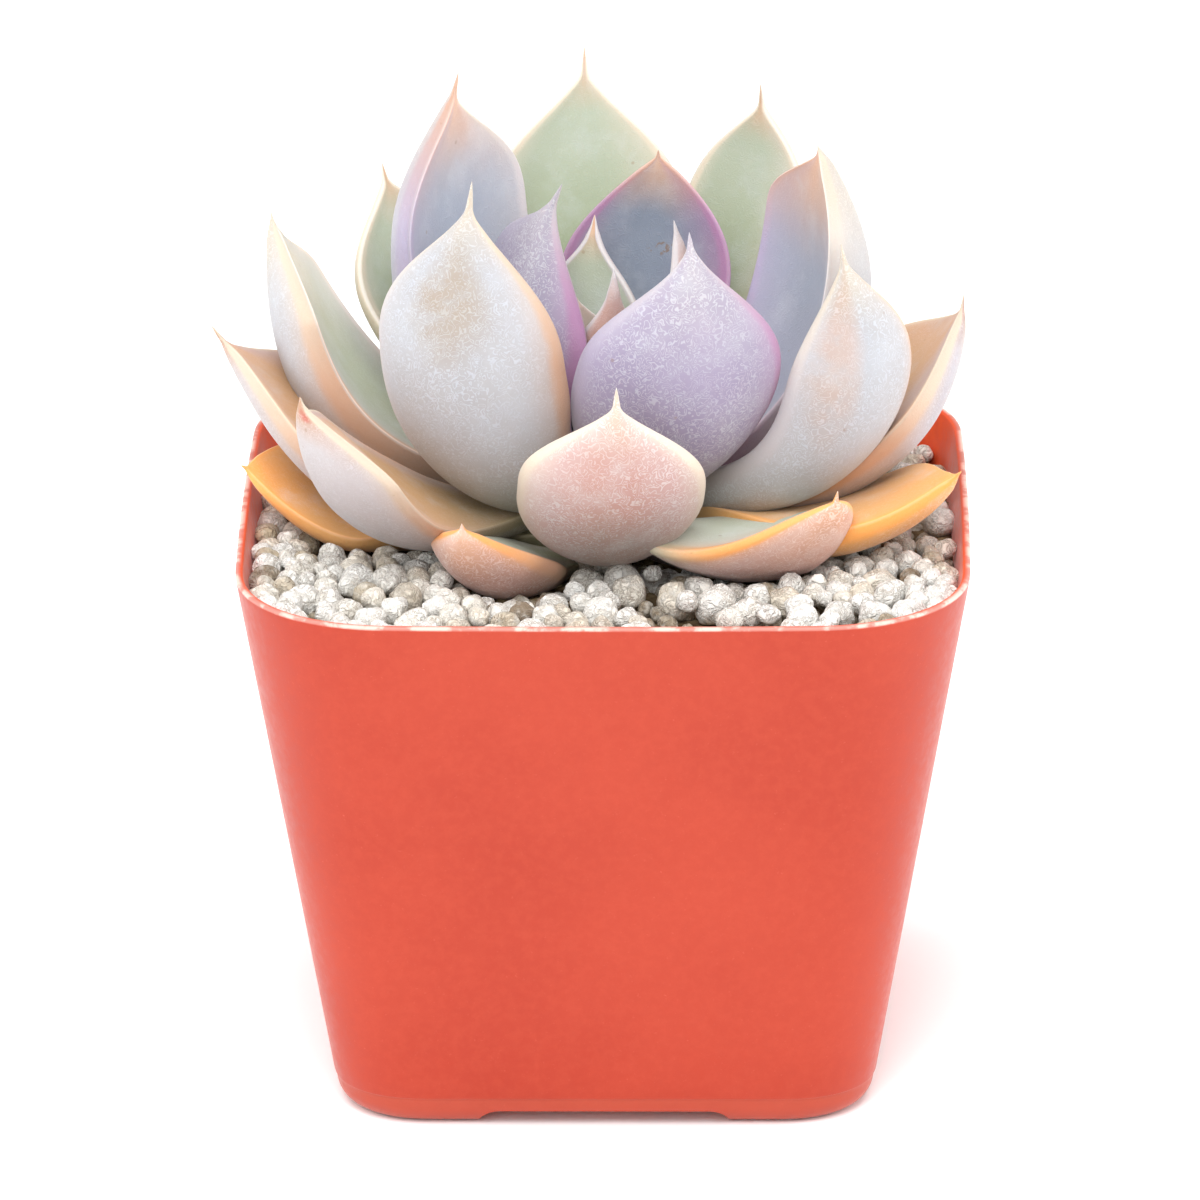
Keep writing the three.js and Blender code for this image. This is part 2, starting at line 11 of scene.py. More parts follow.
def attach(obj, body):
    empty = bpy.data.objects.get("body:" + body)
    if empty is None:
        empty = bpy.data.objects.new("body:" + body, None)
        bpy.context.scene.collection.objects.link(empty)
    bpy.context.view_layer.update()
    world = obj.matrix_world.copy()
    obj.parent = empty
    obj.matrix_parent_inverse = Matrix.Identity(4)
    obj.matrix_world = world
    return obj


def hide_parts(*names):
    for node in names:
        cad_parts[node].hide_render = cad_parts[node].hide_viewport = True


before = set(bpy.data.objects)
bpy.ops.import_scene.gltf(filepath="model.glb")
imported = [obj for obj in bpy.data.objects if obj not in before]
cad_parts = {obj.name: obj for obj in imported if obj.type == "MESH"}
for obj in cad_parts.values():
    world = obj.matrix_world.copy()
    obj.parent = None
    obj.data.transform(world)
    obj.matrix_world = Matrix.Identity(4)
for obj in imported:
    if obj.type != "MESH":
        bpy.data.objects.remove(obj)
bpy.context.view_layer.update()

MM = 0.001
POT_H, RIM_W, BASE_W = 55.5, 70.0, 52.3
CORNER_TOP, CORNER_BOT, CORNER_N, BULGE = 15.3, 9.15, 2.27, 0.65
WALL, FLOOR_Z, FLOOR_T, FOOT_W = 0.75, 1.6, 1.2, 5.4
OFF_X = 1.4820
STEM_X, STEM_Y = -0.3, -0.6

# ------------------------------------------------------------------ leaves: the same numbers as the solids
KEYS = "az r0 z0 L ta tb tc bend tw0 tw1 W sm b p cup T mu g as_ ce q fill fwd".split()
TABLE = [
  ('leaf_centre_5', 175, 0.9, 7.2, 9.5, 76, 88, 98, 0, 0, 0, 2.5, 0.58, 0.42, 1.7, 0.34, 1.5, 0.035, 1, 0, 2, 2.6, 0.15, 0),
  ('leaf_centre_4', 60, 1, 6.8, 11, 72, 86, 96, 0, 0, 0, 2.9, 0.58, 0.42, 1.7, 0.34, 1.7, 0.035, 1, 0, 2, 2.6, 0.15, 0),
  ('leaf_centre_3', -45, 1.2, 6.3, 13, 70, 84, 94, 0, 0, 0, 3.4, 0.58, 0.42, 1.7, 0.34, 1.9, 0.035, 1, 0, 2, 2.6, 0.15, 0),
  ('leaf_centre_2', -125, 1.2, 6, 15, 68, 84, 94, 0, 0, 0, 3.8, 0.58, 0.42, 1.7, 0.34, 2, 0.035, 1, 0, 2, 2.6, 0.15, 0),
  ('leaf_centre_1', 105, 1.3, 5, 13.5, 66, 82, 92, 0, 0, 0, 4.2, 0.58, 0.42, 1.7, 0.34, 2.2, 0.035, 1, 0, 2, 2.6, 0.15, 0),
  ('leaf_heart_front', 8.826, 1.521, 5.036, 23.085, 70.47, 68.451, 97.739, 3.398, 0.292, 2.133, 3.182, 0.565, 0.42, 2.262, 0.401, 1.94, 0.067, 1.025, -0.039, 2, 1.884, 0.15, 0),
  ('leaf_heart_back', -171.169, 1.542, 4.005, 24.126, 55.305, 72.591, 81.137, -13.539, -0.793, -9.948, 5.79, 0.562, 0.42, 2.021, 0.412, 2.581, 0.042, 1.018, 0.152, 1.994, 1.901, 0.15, 0),
  ('leaf_heart_right', 80.639, 1.562, 3.752, 27.95, 38.095, 83.554, 101.83, 2.55, 0.041, 5.323, 4.106, 0.571, 0.42, 1.817, 0.316, 2.138, 0.047, 1.089, -0.002, 2.01, 2.475, 0.15, 0),
  ('leaf_inner_left', -90.222, 1.502, 3.067, 33.842, 24.639, 96.118, 114.999, -2.05, 7.097, 32.953, 11.216, 0.585, 0.42, 2.084, 0.251, 2.935, 0.056, 1.096, -0.067, 2.023, 2.471, 0.15, 0),
  ('leaf_inner_back', 162.31, 1.538, 3.45, 32.754, 44.056, 55.613, 87.965, 0.516, 2.505, 12.593, 8.026, 0.556, 0.42, 1.077, 0.346, 3.362, 0.023, 1.039, -0.044, 2.001, 2.422, 0.15, 0),
  ('leaf_inner_front_right', 24.369, 2.424, 2.122, 40.765, 15.241, 67.324, 100, 2.636, -8.628, -23.536, 9.329, 0.572, 0.38, 2.056, 0.225, 4.319, 0.034, 1.179, -0.016, 1.968, 2.884, 0.15, 0),
  ('leaf_inner_front_left', -43.667, 2.693, 2.757, 45.545, -4.753, 82.687, 99.996, 4.718, 21.885, 18.378, 9.068, 0.602, 0.389, 1.728, 0.172, 4.037, 0.061, 1.204, 0.053, 2.041, 2.937, 0.15, 0),
  ('leaf_inner_back_left', -119.558, 2.626, 2.492, 47.854, 10.548, 83.868, 105, 2.014, 1.495, -1.576, 10.783, 0.68, 0.419, 1.984, 0.241, 5.005, 0.048, 1.187, -0.009, 2.065, 2.966, 0.25, 0),
  ('leaf_inner_right', 97.144, 2.635, 1.882, 47.61, -2.485, 73.908, 112.586, -3.562, 9.819, 13.319, 9.936, 0.82, 0.384, 2.14, 0.423, 5.161, 0.01, 1.235, 0.15, 2.063, 3.081, 0.3, 0),
  ('leaf_mid_front_right', 65.686, 3.025, 3.188, 45.706, -7.975, 82.367, 99.819, -5.193, -11.941, -42.208, 6.245, 0.666, 0.391, 1.876, 0.145, 3.615, 0.038, 1.844, 0.053, 2.07, 2.83, 0.3, 0),
  ('leaf_mid_left', -104.974, 3.896, 2.613, 46.531, -16.704, 61.235, 83.113, 2.749, -5.07, 20.614, 10.688, 0.808, 0.291, 2.373, 0.217, 5.434, 0.02, 1.523, 0.006, 1.834, 2.032, 0.45, 0),
  ('leaf_mid_back', 184.281, 2.515, 1.241, 47.883, 23.408, 49.566, 70.201, -1.969, 0.486, -8.813, 9.523, 0.589, 0.42, 1.645, 0.377, 4.611, 0.052, 0.957, -0.007, 2, 2.847, 0.15, 0),
  ('leaf_mid_back_right', 150.918, 2.662, 1.204, 46.675, 25.739, 46.986, 99.949, -6.641, -0.231, 3.722, 5.927, 0.679, 0.42, 1.684, 0.319, 4.517, 0.046, 1.06, -0.096, 1.999, 4.003, 0.15, 0),
  ('leaf_mid_back_left', -134.304, 2.523, 0.118, 42.162, 16.473, 40.937, 77.482, -5.294, -0.141, -1.849, 10.085, 0.585, 0.42, 1.585, 0.376, 4.594, 0.038, 0.99, 0.015, 2.004, 2.814, 0.15, 0),
  ('leaf_mid_rear_left', -160, 2.5, -0.5, 39, 8, 32, 55, 0, 0, 0, 9.8, 0.58, 0.42, 1.6, 0.34, 4.5, 0.035, 1, 0, 2, 2.6, 0.3, 0),
  ('leaf_mid_rear_right', 130, 2.5, -0.5, 34, 8, 27, 45, 0, 0, 0, 8.2, 0.58, 0.42, 1.6, 0.34, 4.2, 0.035, 1, 0, 2, 2.6, 0.3, 0),
  ('leaf_outer_front', 3.738, 4.982, -1.254, 33.088, -2.876, 51.284, 89.059, 1.413, 1.99, -5.661, 8.501, 0.56, 0.472, 1.853, 0.12, 3.753, 0.062, 1.044, -0.023, 2.019, 3.528, 0.25, 2.6),
  ('leaf_outer_right', 103.144, 2.633, -0.867, 43.342, 2.83, 26.617, 89.019, -17.349, 17.801, 0.045, 11.117, 0.67, 0.417, 1.49, 0.229, 4.889, 0.038, 1.005, 0.003, 2.118, 3.223, 0.7, 0),
  ('leaf_outer_left', -101.465, 2.511, -2.449, 43.279, -6.898, 29.818, 57.85, 13.173, -18.743, 4.783, 11.472, 0.619, 0.42, 1.787, 0.104, 5.218, 0.051, 1.001, -0.04, 1.961, 2.971, 0.9, 0),
  ('leaf_outer_front_left', -76.509, 4.42, 0.429, 39.935, -23.334, 28.359, 84.592, 49.999, -4.8, -30.168, 7.422, 0.82, 0.21, 2.459, 0.647, 2.207, 0.013, 0.997, 0.398, 1.553, 2.615, 1, 1.8),
  ('leaf_low_right', 80.7, 3.106, -3.956, 37.67, 8.558, 15.981, 49.972, -27.527, -35.977, 20.211, 9.686, 0.654, 0.347, 1.32, 0.015, 5.174, 0.021, 1.13, 0.021, 1.987, 1.516, 1, 0),
  ('leaf_low_left', -103.656, 3.461, -3.452, 34.602, 0.022, 12.614, 40.317, 41.273, 28.568, -27.351, 9.427, 0.675, 0.348, 0.924, -0.065, 4.759, 0.022, 1.106, -0.028, 2.003, 1.502, 1, -2.2),
  ('leaf_low_front_right', 61.869, 5.868, -4.381, 33.102, 2.252, 22.31, 76.342, -47.128, -24.983, 16.43, 10.967, 0.425, 0.208, 0.665, 0.357, 2.2, 0.045, 1.048, -0.449, 1.781, 1.802, 1, -2),
  ('leaf_low_front_left', -45.003, 5.37, -5.588, 24.464, 1.431, 24.537, 77.096, 38.147, -11.691, -5.421, 5.489, 0.529, 0.376, 1.143, 0.472, 2.385, 0.032, 0.996, 0.017, 2.079, 2.921, 1, 1.6),
  ('leaf_low_back_right', 128, 2.6, -3.5, 37, -3, 10, 38, 0, 0, 0, 9.6, 0.58, 0.42, 1.6, 0.34, 4.3, 0.035, 1, 0, 2, 2.6, 0.5, 0),
  ('leaf_low_back', 168, 2.6, -4, 35, -4, 8, 35, 3, 0, 0, 9.4, 0.58, 0.42, 1.6, 0.34, 4.2, 0.035, 1, 0, 2, 2.6, 0.5, 0),
  ('leaf_low_rear_left', -153, 2.6, -3.2, 37, -2, 12, 40, -3, 0, 0, 9.8, 0.58, 0.42, 1.6, 0.34, 4.4, 0.035, 1, 0, 2, 2.6, 0.5, 0),
  ('leaf_low_back_left', -124, 2.6, -4.2, 35, -5, 6, 30, 0, 0, 0, 9.2, 0.58, 0.42, 1.6, 0.34, 4.2, 0.035, 1, 0, 2, 2.6, 0.5, 0),
]
LEAVES = {row[0]: dict(zip(KEYS, row[1:])) for row in TABLE}


# ------------------------------------------------------------------ meshes
def new_mesh(name, verts, faces, smooth=True, attrs=None):
    me = bpy.data.meshes.new(name)
    me.from_pydata(np.asarray(verts, float).tolist(), [], [list(map(int, f)) for f in faces])
    if smooth:
        me.polygons.foreach_set("use_smooth", [True] * len(me.polygons))
    for k, v in (attrs or {}).items():
        a = me.attributes.new(k, "FLOAT", "POINT")
        a.data.foreach_set("value", np.asarray(v, np.float32))
    me.update()
    ob = bpy.data.objects.new(name, me)
    bpy.context.scene.collection.objects.link(ob)
    return ob


def leaf_frame(P, s_out):
    """Midrib points and section axes at the stations s_out."""
    n = 600
    s = np.linspace(0, 1, n + 1)
    az = math.radians(P["az"])
    o = np.array([math.sin(az), -math.cos(az), 0.0])
    l = np.array([math.cos(az), math.sin(az), 0.0])
    k = np.array([0, 0, 1.0])

    def axes(s):
        h = s ** P["g"]
        th = np.radians(P["ta"] * (2 * (h - 0.5) * (h - 1)) + P["tb"] * (-4 * h * (h - 1)) + P["tc"] * (2 * h * (h - 0.5)))
        ps = np.radians(P["bend"]) * s
        out = np.cos(ps)[:, None] * o + np.sin(ps)[:, None] * l
        d = np.cos(th)[:, None] * out + np.sin(th)[:, None] * k
        nn = -np.sin(th)[:, None] * out + np.cos(th)[:, None] * k
        m = -np.sin(ps)[:, None] * o + np.cos(ps)[:, None] * l
        return d, nn, m

    d = axes((s[1:] + s[:-1]) / 2)[0]
    C = np.vstack([np.zeros(3), np.cumsum(d * P["L"] / n, 0)]) + np.array([STEM_X, STEM_Y - 0.94 * P["fwd"], 0.34 * P["fwd"]]) + P["r0"] * o + P["z0"] * k
    C = np.stack([np.interp(s_out, s, C[:, i]) for i in range(3)], 1)
    d, nn, m = axes(s_out)
    tw = np.radians(P["tw0"] + (P["tw1"] - P["tw0"]) * s_out)[:, None]
    return C, np.cos(tw) * m + np.sin(tw) * nn, -np.sin(tw) * m + np.cos(tw) * nn, d


def leaf_sizes(P, s):
    mu, sm = P["mu"], P["sm"]
    se = s / (1 - mu)
    up = P["b"] + (1 - P["b"]) * np.sin(np.pi / 2 * np.clip(se / sm, 0, 1)) ** 1.3
    t = np.clip((se - sm) / (1 - sm), 0, 1)
    dn = (1 - t ** P["q"]) ** P["p"]
    tail = np.clip((1 - s) / (mu + 0.04), 0, 1) ** 0.8
    w = P["W"] * np.where(se < sm, up, dn) + 0.55 * tail * np.clip(s / 0.3, 0, 1)
    sc = np.clip(se, 0, 1)
    T = P["T"] * (1 - sc ** 2.6) * (0.72 + 0.55 * sc) + 0.8 * tail
    c = P["cup"] * (0.35 + 0.65 * np.sin(np.pi * np.clip(s, 0, 1) ** 0.75))
    return w, T, c


def wave(seed, n=4, lo=2.0, hi=9.0):
    r = np.random.RandomState(seed)
    f, ph, a = r.uniform(lo, hi, n), r.uniform(0, 6.28, n), r.uniform(0.4, 1.0, n)
    return lambda x: sum(a[i] * np.sin(f[i] * x + ph[i]) for i in range(n)) / a.sum()


def leaf_mesh(name, P, seed, ns=76, na=25, nb=27, nf=5):
    """One closed leaf: adaxial face, rounded margins, abaxial face with a slight keel towards the tip."""
    t = np.linspace(0, 1, ns)
    s = 1 - (1 - t) ** 1.25
    s = s[:-1]
    C, M, N, D = leaf_frame(P, s)
    w, T, c = leaf_sizes(P, s)
    wl, wr = wave(seed), wave(seed + 1)
    dent = wave(seed + 2, 5, 3, 14)
    rings, S, V, F = [], [], [], []
    for i in range(len(s)):
        r = min(0.34, 0.42 * w[i], 0.3 * T[i] + 0.05)
        wi, Ti = w[i] - r, max(T[i] - 2 * r, 0.06)
        keel = 0.12 * float(np.clip((s[i] - 0.78) / 0.2, 0, 1))
        pts, sv, sf = [], [], []

        def sides(v):
            return 1 + P["as_"] * np.sign(v)

        def top(v):
            return c[i] * wi * np.abs(v) ** P["ce"] - r

        def dtop(v):
            return c[i] * wi * P["ce"] * np.abs(v) ** (P["ce"] - 1) * np.sign(v)

        v = np.sin(np.linspace(-np.pi / 2, np.pi / 2, na))
        # the upper face: as hollow as the margins ask, or filled up towards the flat
        x, y = wi * v * sides(v), top(v) * (1 - P["fill"]) + P["fill"] * (c[i] * wi - r)
        nx, ny = -dtop(v) * (1 - P["fill"]), wi * sides(v)
        ln = np.hypot(nx, ny)
        nx, ny = nx / ln, ny / ln
        ad = np.stack([x + r * nx, y + r * ny], 1)
        a0l, a0r = math.atan2(ny[0], nx[0]), math.atan2(ny[-1], nx[-1])
        a = np.linspace(-np.pi / 2, np.pi / 2, nb)[::-1]
        vb = np.sin(a)
        cs = np.abs(np.cos(a))
        prof = (1 - keel) * cs + keel * (1 - np.abs(vb)) ** 0.85
        xb, yb = wi * vb * sides(vb), top(vb) - Ti * prof
        tx, ty = np.gradient(xb), np.gradient(yb)
        tx[0], ty[0] = 0, -1
        tx[-1], ty[-1] = 0, 1
        ln = np.hypot(tx, ty) + 1e-9
        nbx, nby = -ty / ln, tx / ln          # outward on a path that runs right to left underneath
        ab = np.stack([xb + r * nbx, yb + r * nby], 1)
        right = [(x[-1] + r * math.cos(q), y[-1] + r * math.sin(q)) for q in np.linspace(a0r, 0, nf + 2)[1:-1]]
        left = [(x[0] + r * math.cos(q), y[0] + r * math.sin(q)) for q in np.linspace(np.pi, a0l, nf + 2)[1:-1]]
        ring = np.vstack([ad, np.array(right).reshape(-1, 2), ab, np.array(left).reshape(-1, 2)])
        vv = np.concatenate([v, np.ones(nf), vb, -np.ones(nf)])
        ff = np.concatenate([np.ones(na), np.linspace(1, 0, nf + 2)[1:-1], np.zeros(nb), np.linspace(0, 1, nf + 2)[1:-1]])
        # small natural unevenness, none at the tip
        amp = 0.12 * min(1.0, w[i] / 4)
        shift = np.where(vv > 0, wr(s[i] * 3), wl(s[i] * 3)) * amp * np.abs(vv) ** 3 * np.sign(vv)
        lift = amp * 0.7 * dent(s[i] * 2 + vv * 0.9) * (1 - 0.5 * np.abs(vv))
        X, Y = ring[:, 0] + shift, ring[:, 1] + lift + T[i] / 2
        rings.append(C[i] + X[:, None] * M[i] + Y[:, None] * N[i])
        S.append(np.full(len(vv), s[i]))
        V.append(vv)
        F.append(ff)
    n = len(rings[0])
    verts = list(np.vstack(rings))
    Ct, Mt, Nt, Dt = leaf_frame(P, np.array([1.0]))
    base, tip = len(verts), len(verts) + 1
    verts += [rings[0].mean(0), Ct[0]]
    S, V, F = np.concatenate(S + [[0.0, 1.0]]), np.concatenate(V + [[0.0, 0.0]]), np.concatenate(F + [[0.0, 0.5]])
    faces = []
    for i in range(len(rings) - 1):
        for j in range(n):
            k = (j + 1) % n
            faces.append((i * n + j, (i + 1) * n + j, (i + 1) * n + k, i * n + k))
    last = (len(rings) - 1) * n
    for j in range(n):
        k = (j + 1) % n
        faces.append((base, j, k))
        faces.append((last + j, tip, last + k))
    verts = (np.array(verts) + np.array([OFF_X, 0, POT_H])) * MM
    return new_mesh(name, verts, faces, attrs={"leaf_s": S, "leaf_v": V, "leaf_f": F})


def orient(ob):
    """Faces out."""
    bm = bmesh.new()
    bm.from_mesh(ob.data)
    bmesh.ops.remove_doubles(bm, verts=bm.verts, dist=2e-7)
    bmesh.ops.dissolve_degenerate(bm, edges=bm.edges, dist=1e-7)
    bmesh.ops.recalc_face_normals(bm, faces=bm.faces)
    bm.to_mesh(ob.data)
    bm.free()
    ob.data.update()
    return ob


# ------------------------------------------------------------------ node building
def srgb(h):
    h = h.lstrip("#")
    v = [int(h[i : i + 2], 16) / 255 for i in (0, 2, 4)]
    return [c / 12.92 if c <= 0.04045 else ((c + 0.055) / 1.055) ** 2.4 for c in v] + [1.0]


class Nodes:
    def __init__(self, name):
        self.mat = bpy.data.materials.new(name)
        self.mat.use_nodes = True
        self.t = self.mat.node_tree
        self.bsdf = self.t.nodes["Principled BSDF"]
        self.coord = self.t.nodes.new("ShaderNodeTexCoord").outputs["Object"]

    def put(self, socket, value):
        if isinstance(value, bpy.types.NodeSocket):
            self.t.links.new(value, socket)
        else:
            socket.default_value = value

    def attr(self, name):
        n = self.t.nodes.new("ShaderNodeAttribute")
        n.attribute_name = name
        return n.outputs["Fac"]

    def math(self, op, a, b=0.0, c=0.0, clamp=False):
        n = self.t.nodes.new("ShaderNodeMath")
        n.operation, n.use_clamp = op, clamp
        for i, x in enumerate((a, b, c)):
            if i < len(n.inputs):
                self.put(n.inputs[i], x)
        return n.outputs[0]

    def step(self, x, a, b, lo=0.0, hi=1.0):
        n = self.t.nodes.new("ShaderNodeMapRange")
        n.interpolation_type = "SMOOTHSTEP"
        self.put(n.inputs["Value"], x)
        for k, v in (("From Min", a), ("From Max", b), ("To Min", lo), ("To Max", hi)):
            n.inputs[k].default_value = v
        return n.outputs["Result"]

    def noise(self, scale, detail=2.0, rough=0.5, dist=0.0, vec=None, colour=False):
        n = self.t.nodes.new("ShaderNodeTexNoise")
        self.put(n.inputs["Vector"], vec or self.coord)
        for k, v in (("Scale", scale), ("Detail", detail), ("Roughness", rough), ("Distortion", dist)):
            n.inputs[k].default_value = v
        return n.outputs["Color" if colour else "Fac"]

    def voronoi(self, scale, feature="F1", rand=1.0, out="Distance"):
        n = self.t.nodes.new("ShaderNodeTexVoronoi")
        n.feature = feature
        self.put(n.inputs["Vector"], self.coord)
        n.inputs["Scale"].default_value = scale
        n.inputs["Randomness"].default_value = rand
        return n.outputs[out]

    def mix(self, fac, a, b, blend="MIX"):
        n = self.t.nodes.new("ShaderNodeMix")
        n.data_type, n.blend_type = "RGBA", blend
        self.put(n.inputs[0], fac)
        self.put(n.inputs[6], srgb(a) if isinstance(a, str) else a)
        self.put(n.inputs[7], srgb(b) if isinstance(b, str) else b)
        return n.outputs[2]

    def ramp(self, fac, stops, interp="EASE"):
        n = self.t.nodes.new("ShaderNodeValToRGB")
        n.color_ramp.interpolation = interp
        e = n.color_ramp.elements
        while len(e) < len(stops):
            e.new(0.5)
        for el, (p, c) in zip(e, sorted(stops, key=lambda q: q[0])):
            el.position = p
        for el, (p, c) in zip(e, sorted(stops, key=lambda q: q[0])):
            el.position = p
            el.color = srgb(c)
        self.put(n.inputs["Fac"], fac)
        return n.outputs["Color"]

    def bump(self, height, strength, dist, under=None):
        n = self.t.nodes.new("ShaderNodeBump")
        n.inputs["Strength"].default_value = strength
        n.inputs["Distance"].default_value = dist
        self.put(n.inputs["Height"], height)
        if under is not None:
            self.put(n.inputs["Normal"], under)
        return n.outputs["Normal"]

    def done(self, colour, rough, normal=None, **consts):
        b = self.bsdf.inputs
        self.put(b["Base Color"], colour)
        self.put(b["Roughness"], rough)
        if normal is not None:
            self.put(b["Normal"], normal)
        for k, v in consts.items():
            b[k.replace("_", " ")].default_value = v
        return self.mat


# ------------------------------------------------------------------ how each leaf is coloured
# ab: outer (abaxial) face from base to tip, ad: inner (adaxial) face, el and er: left and right margins, sl and sr: tint
# towards the left and right side, laby: strength and colour of the fine maze-like marks, patch: soft spot
# painted_light_gain: brightness factors for the outer and inner face, painted light that lifts leaves lying in shade
LAV, GREY_LAV, MIST, PEARL = "#ccc0dc", "#b0a8bc", "#dce0ea", "#f0e8ea"
SAGE, PALE_SAGE, OLIVE, SLATE, TAUPE = "#b0bc98", "#c8d0b8", "#94906a", "#909aac", "#a89c90"
ROSE, PINK, PEACH, CREAM, AMBER, ORANGE = "#dcb0a4", "#c890bc", "#f4c09c", "#fff0d8", "#e8b070", "#fcac58"
LAVENDER = dict(ab=[(0, TAUPE), (.6, LAV), (1, PEARL)], ad=[(0, GREY_LAV), (.6, LAV), (1, PEARL)], el=[(0, TAUPE), (.6, LAV), (1, PEARL)], er=[(0, PINK), (.7, PINK), (1, PEARL)],
    sl=(LAV, .4), sr=(GREY_LAV, .4), laby=(.75, "#9080a8"), ridge_w=.25, painted_light_gain=(.82, 1))
WHITE = dict(ab=[(0, OLIVE), (.5, MIST), (.8, MIST), (1, CREAM)], ad=[(0, TAUPE), (.6, PALE_SAGE), (1, CREAM)], el=[(0, TAUPE), (.6, PEARL), (1, CREAM)], er=[(0, TAUPE), (.6, PEACH), (1, CREAM)],
    sl=(MIST, .4), sr=(PEARL, .3), laby=(.6, "#b8a088"), painted_light_gain=(.82, 1.3))
BLUE = dict(ab=[(0, TAUPE), (.6, MIST), (1, CREAM)], ad=[(0, GREY_LAV), (.7, "#b8c0d0"), (1, PEACH)], el=[(0, PINK), (.7, PEARL), (1, CREAM)], er=[(0, GREY_LAV), (.7, LAV), (1, PEACH)],
    sl=(PEARL, .3), sr=(LAV, .3), laby=(.4, "#9890a8"), ridge_w=.2, painted_light_gain=(.78, 1.1))
DUSK = dict(ab=[(0, GREY_LAV), (1, PEARL)], ad=[(0, SLATE), (.8, SLATE), (1, PEACH)], el=[(0, PINK), (.8, PINK), (1, PEACH)], er=[(0, PINK), (.8, PINK), (1, PEACH)],
    sl=(PINK, .35), sr=(GREY_LAV, .35), laby=(.25, "#706c88"), ridge_w=.12, edge_w=.07, dirt=(.70, -.28, .03, .34), painted_light_gain=(.95, .75))
HEART = dict(ab=[(0, TAUPE), (.8, ROSE), (1, PEARL)], ad=[(0, "#94a8a0"), (.8, PALE_SAGE), (1, PEACH)], el=[(0, TAUPE), (1, PEARL)], er=[(0, TAUPE), (1, PEARL)], laby=(.3, "#8c7468"), ridge_w=.15, edge_w=.035, painted_light_gain=(.9, 1))
GREEN = dict(ab=[(0, TAUPE), (1, CREAM)], ad=[(0, OLIVE), (.5, SAGE), (.85, PALE_SAGE), (1, PEACH)], el=[(0, OLIVE), (.7, CREAM), (1, CREAM)], er=[(0, OLIVE), (.7, CREAM), (1, CREAM)],
    sl=(CREAM, .35), sr=(PALE_SAGE, .3), laby=(.35, "#8c9270"), painted_light_gain=(.9, .85))
OUTER = dict(ab=[(0, OLIVE), (.6, PEARL), (.85, PEARL), (1, PEACH)], ad=[(0, OLIVE), (.6, AMBER), (1, PEACH)], el=[(0, OLIVE), (.6, PEACH), (1, CREAM)], er=[(0, OLIVE), (.6, PEACH), (1, CREAM)],
    sl=(LAV, .35), sr=(ROSE, .15), laby=(.5, "#a58e78"), ridge_w=.4, ridge=CREAM, edge_w=.045, painted_light_gain=(.8, 1))
BLUSH = dict(ab=[(0, OLIVE), (.4, TAUPE), (.75, ROSE), (1, CREAM)], ad=[(0, TAUPE), (1, CREAM)], el=[(0, TAUPE), (1, CREAM)], er=[(0, TAUPE), (1, CREAM)], sl=(PEARL, .4), sr=(PEARL, .4), laby=(.7, "#c0847c"), painted_light_gain=(1, 1.4))
GOLD = dict(ab=[(0, TAUPE), (.6, AMBER), (1, ORANGE)], ad=[(0, OLIVE), (.7, AMBER), (1, ORANGE)], el=[(0, OLIVE), (.6, ORANGE), (1, ORANGE)], er=[(0, OLIVE), (.7, AMBER), (1, ORANGE)],
    sl=(AMBER, .35), sr=(AMBER, .3), laby=(.45, "#ac7c44"), ridge_w=.3, ridge=PEACH, painted_light_gain=(1.2, 1.4))
LOW = dict(ab=[(0, TAUPE), (.6, ROSE), (1, PEACH)], ad=[(0, OLIVE), (.6, PALE_SAGE), (1, PEACH)], el=[(0, OLIVE), (.5, PALE_SAGE), (.8, ORANGE), (1, ORANGE)], er=[(0, OLIVE), (.5, PEACH), (1, ORANGE)],
    sl=(PEARL, .3), sr=(ROSE, .3), laby=(.7, "#b07c70"), ridge_w=.35, ridge=PEACH, painted_light_gain=(1.3, 1.2))
LOOK = {
    "leaf_outer_front": BLUSH, "leaf_inner_front_right": LAVENDER, "leaf_inner_left": LAVENDER,
    "leaf_inner_front_left": dict(WHITE, patch=(.76, -.05, .13, .5, "#c8b090", .65)), "leaf_mid_front_right": dict(WHITE, patch=(.78, -.45, .2, .45, PEACH, .5)), "leaf_mid_left": WHITE,
    "leaf_inner_back": DUSK, "leaf_inner_back_left": BLUE, "leaf_inner_right": BLUE,
    "leaf_heart_front": HEART, "leaf_heart_back": HEART, "leaf_heart_right": HEART,
    "leaf_mid_back": GREEN, "leaf_mid_back_right": GREEN, "leaf_mid_back_left": GREEN,
    "leaf_outer_right": OUTER, "leaf_outer_left": OUTER, "leaf_outer_front_left": dict(OUTER, patch=(.962, .55, .02, .4, "#f06858", .8)),
    "leaf_low_right": GOLD, "leaf_low_left": GOLD, "leaf_low_front_right": LOW, "leaf_low_front_left": LOW,
}
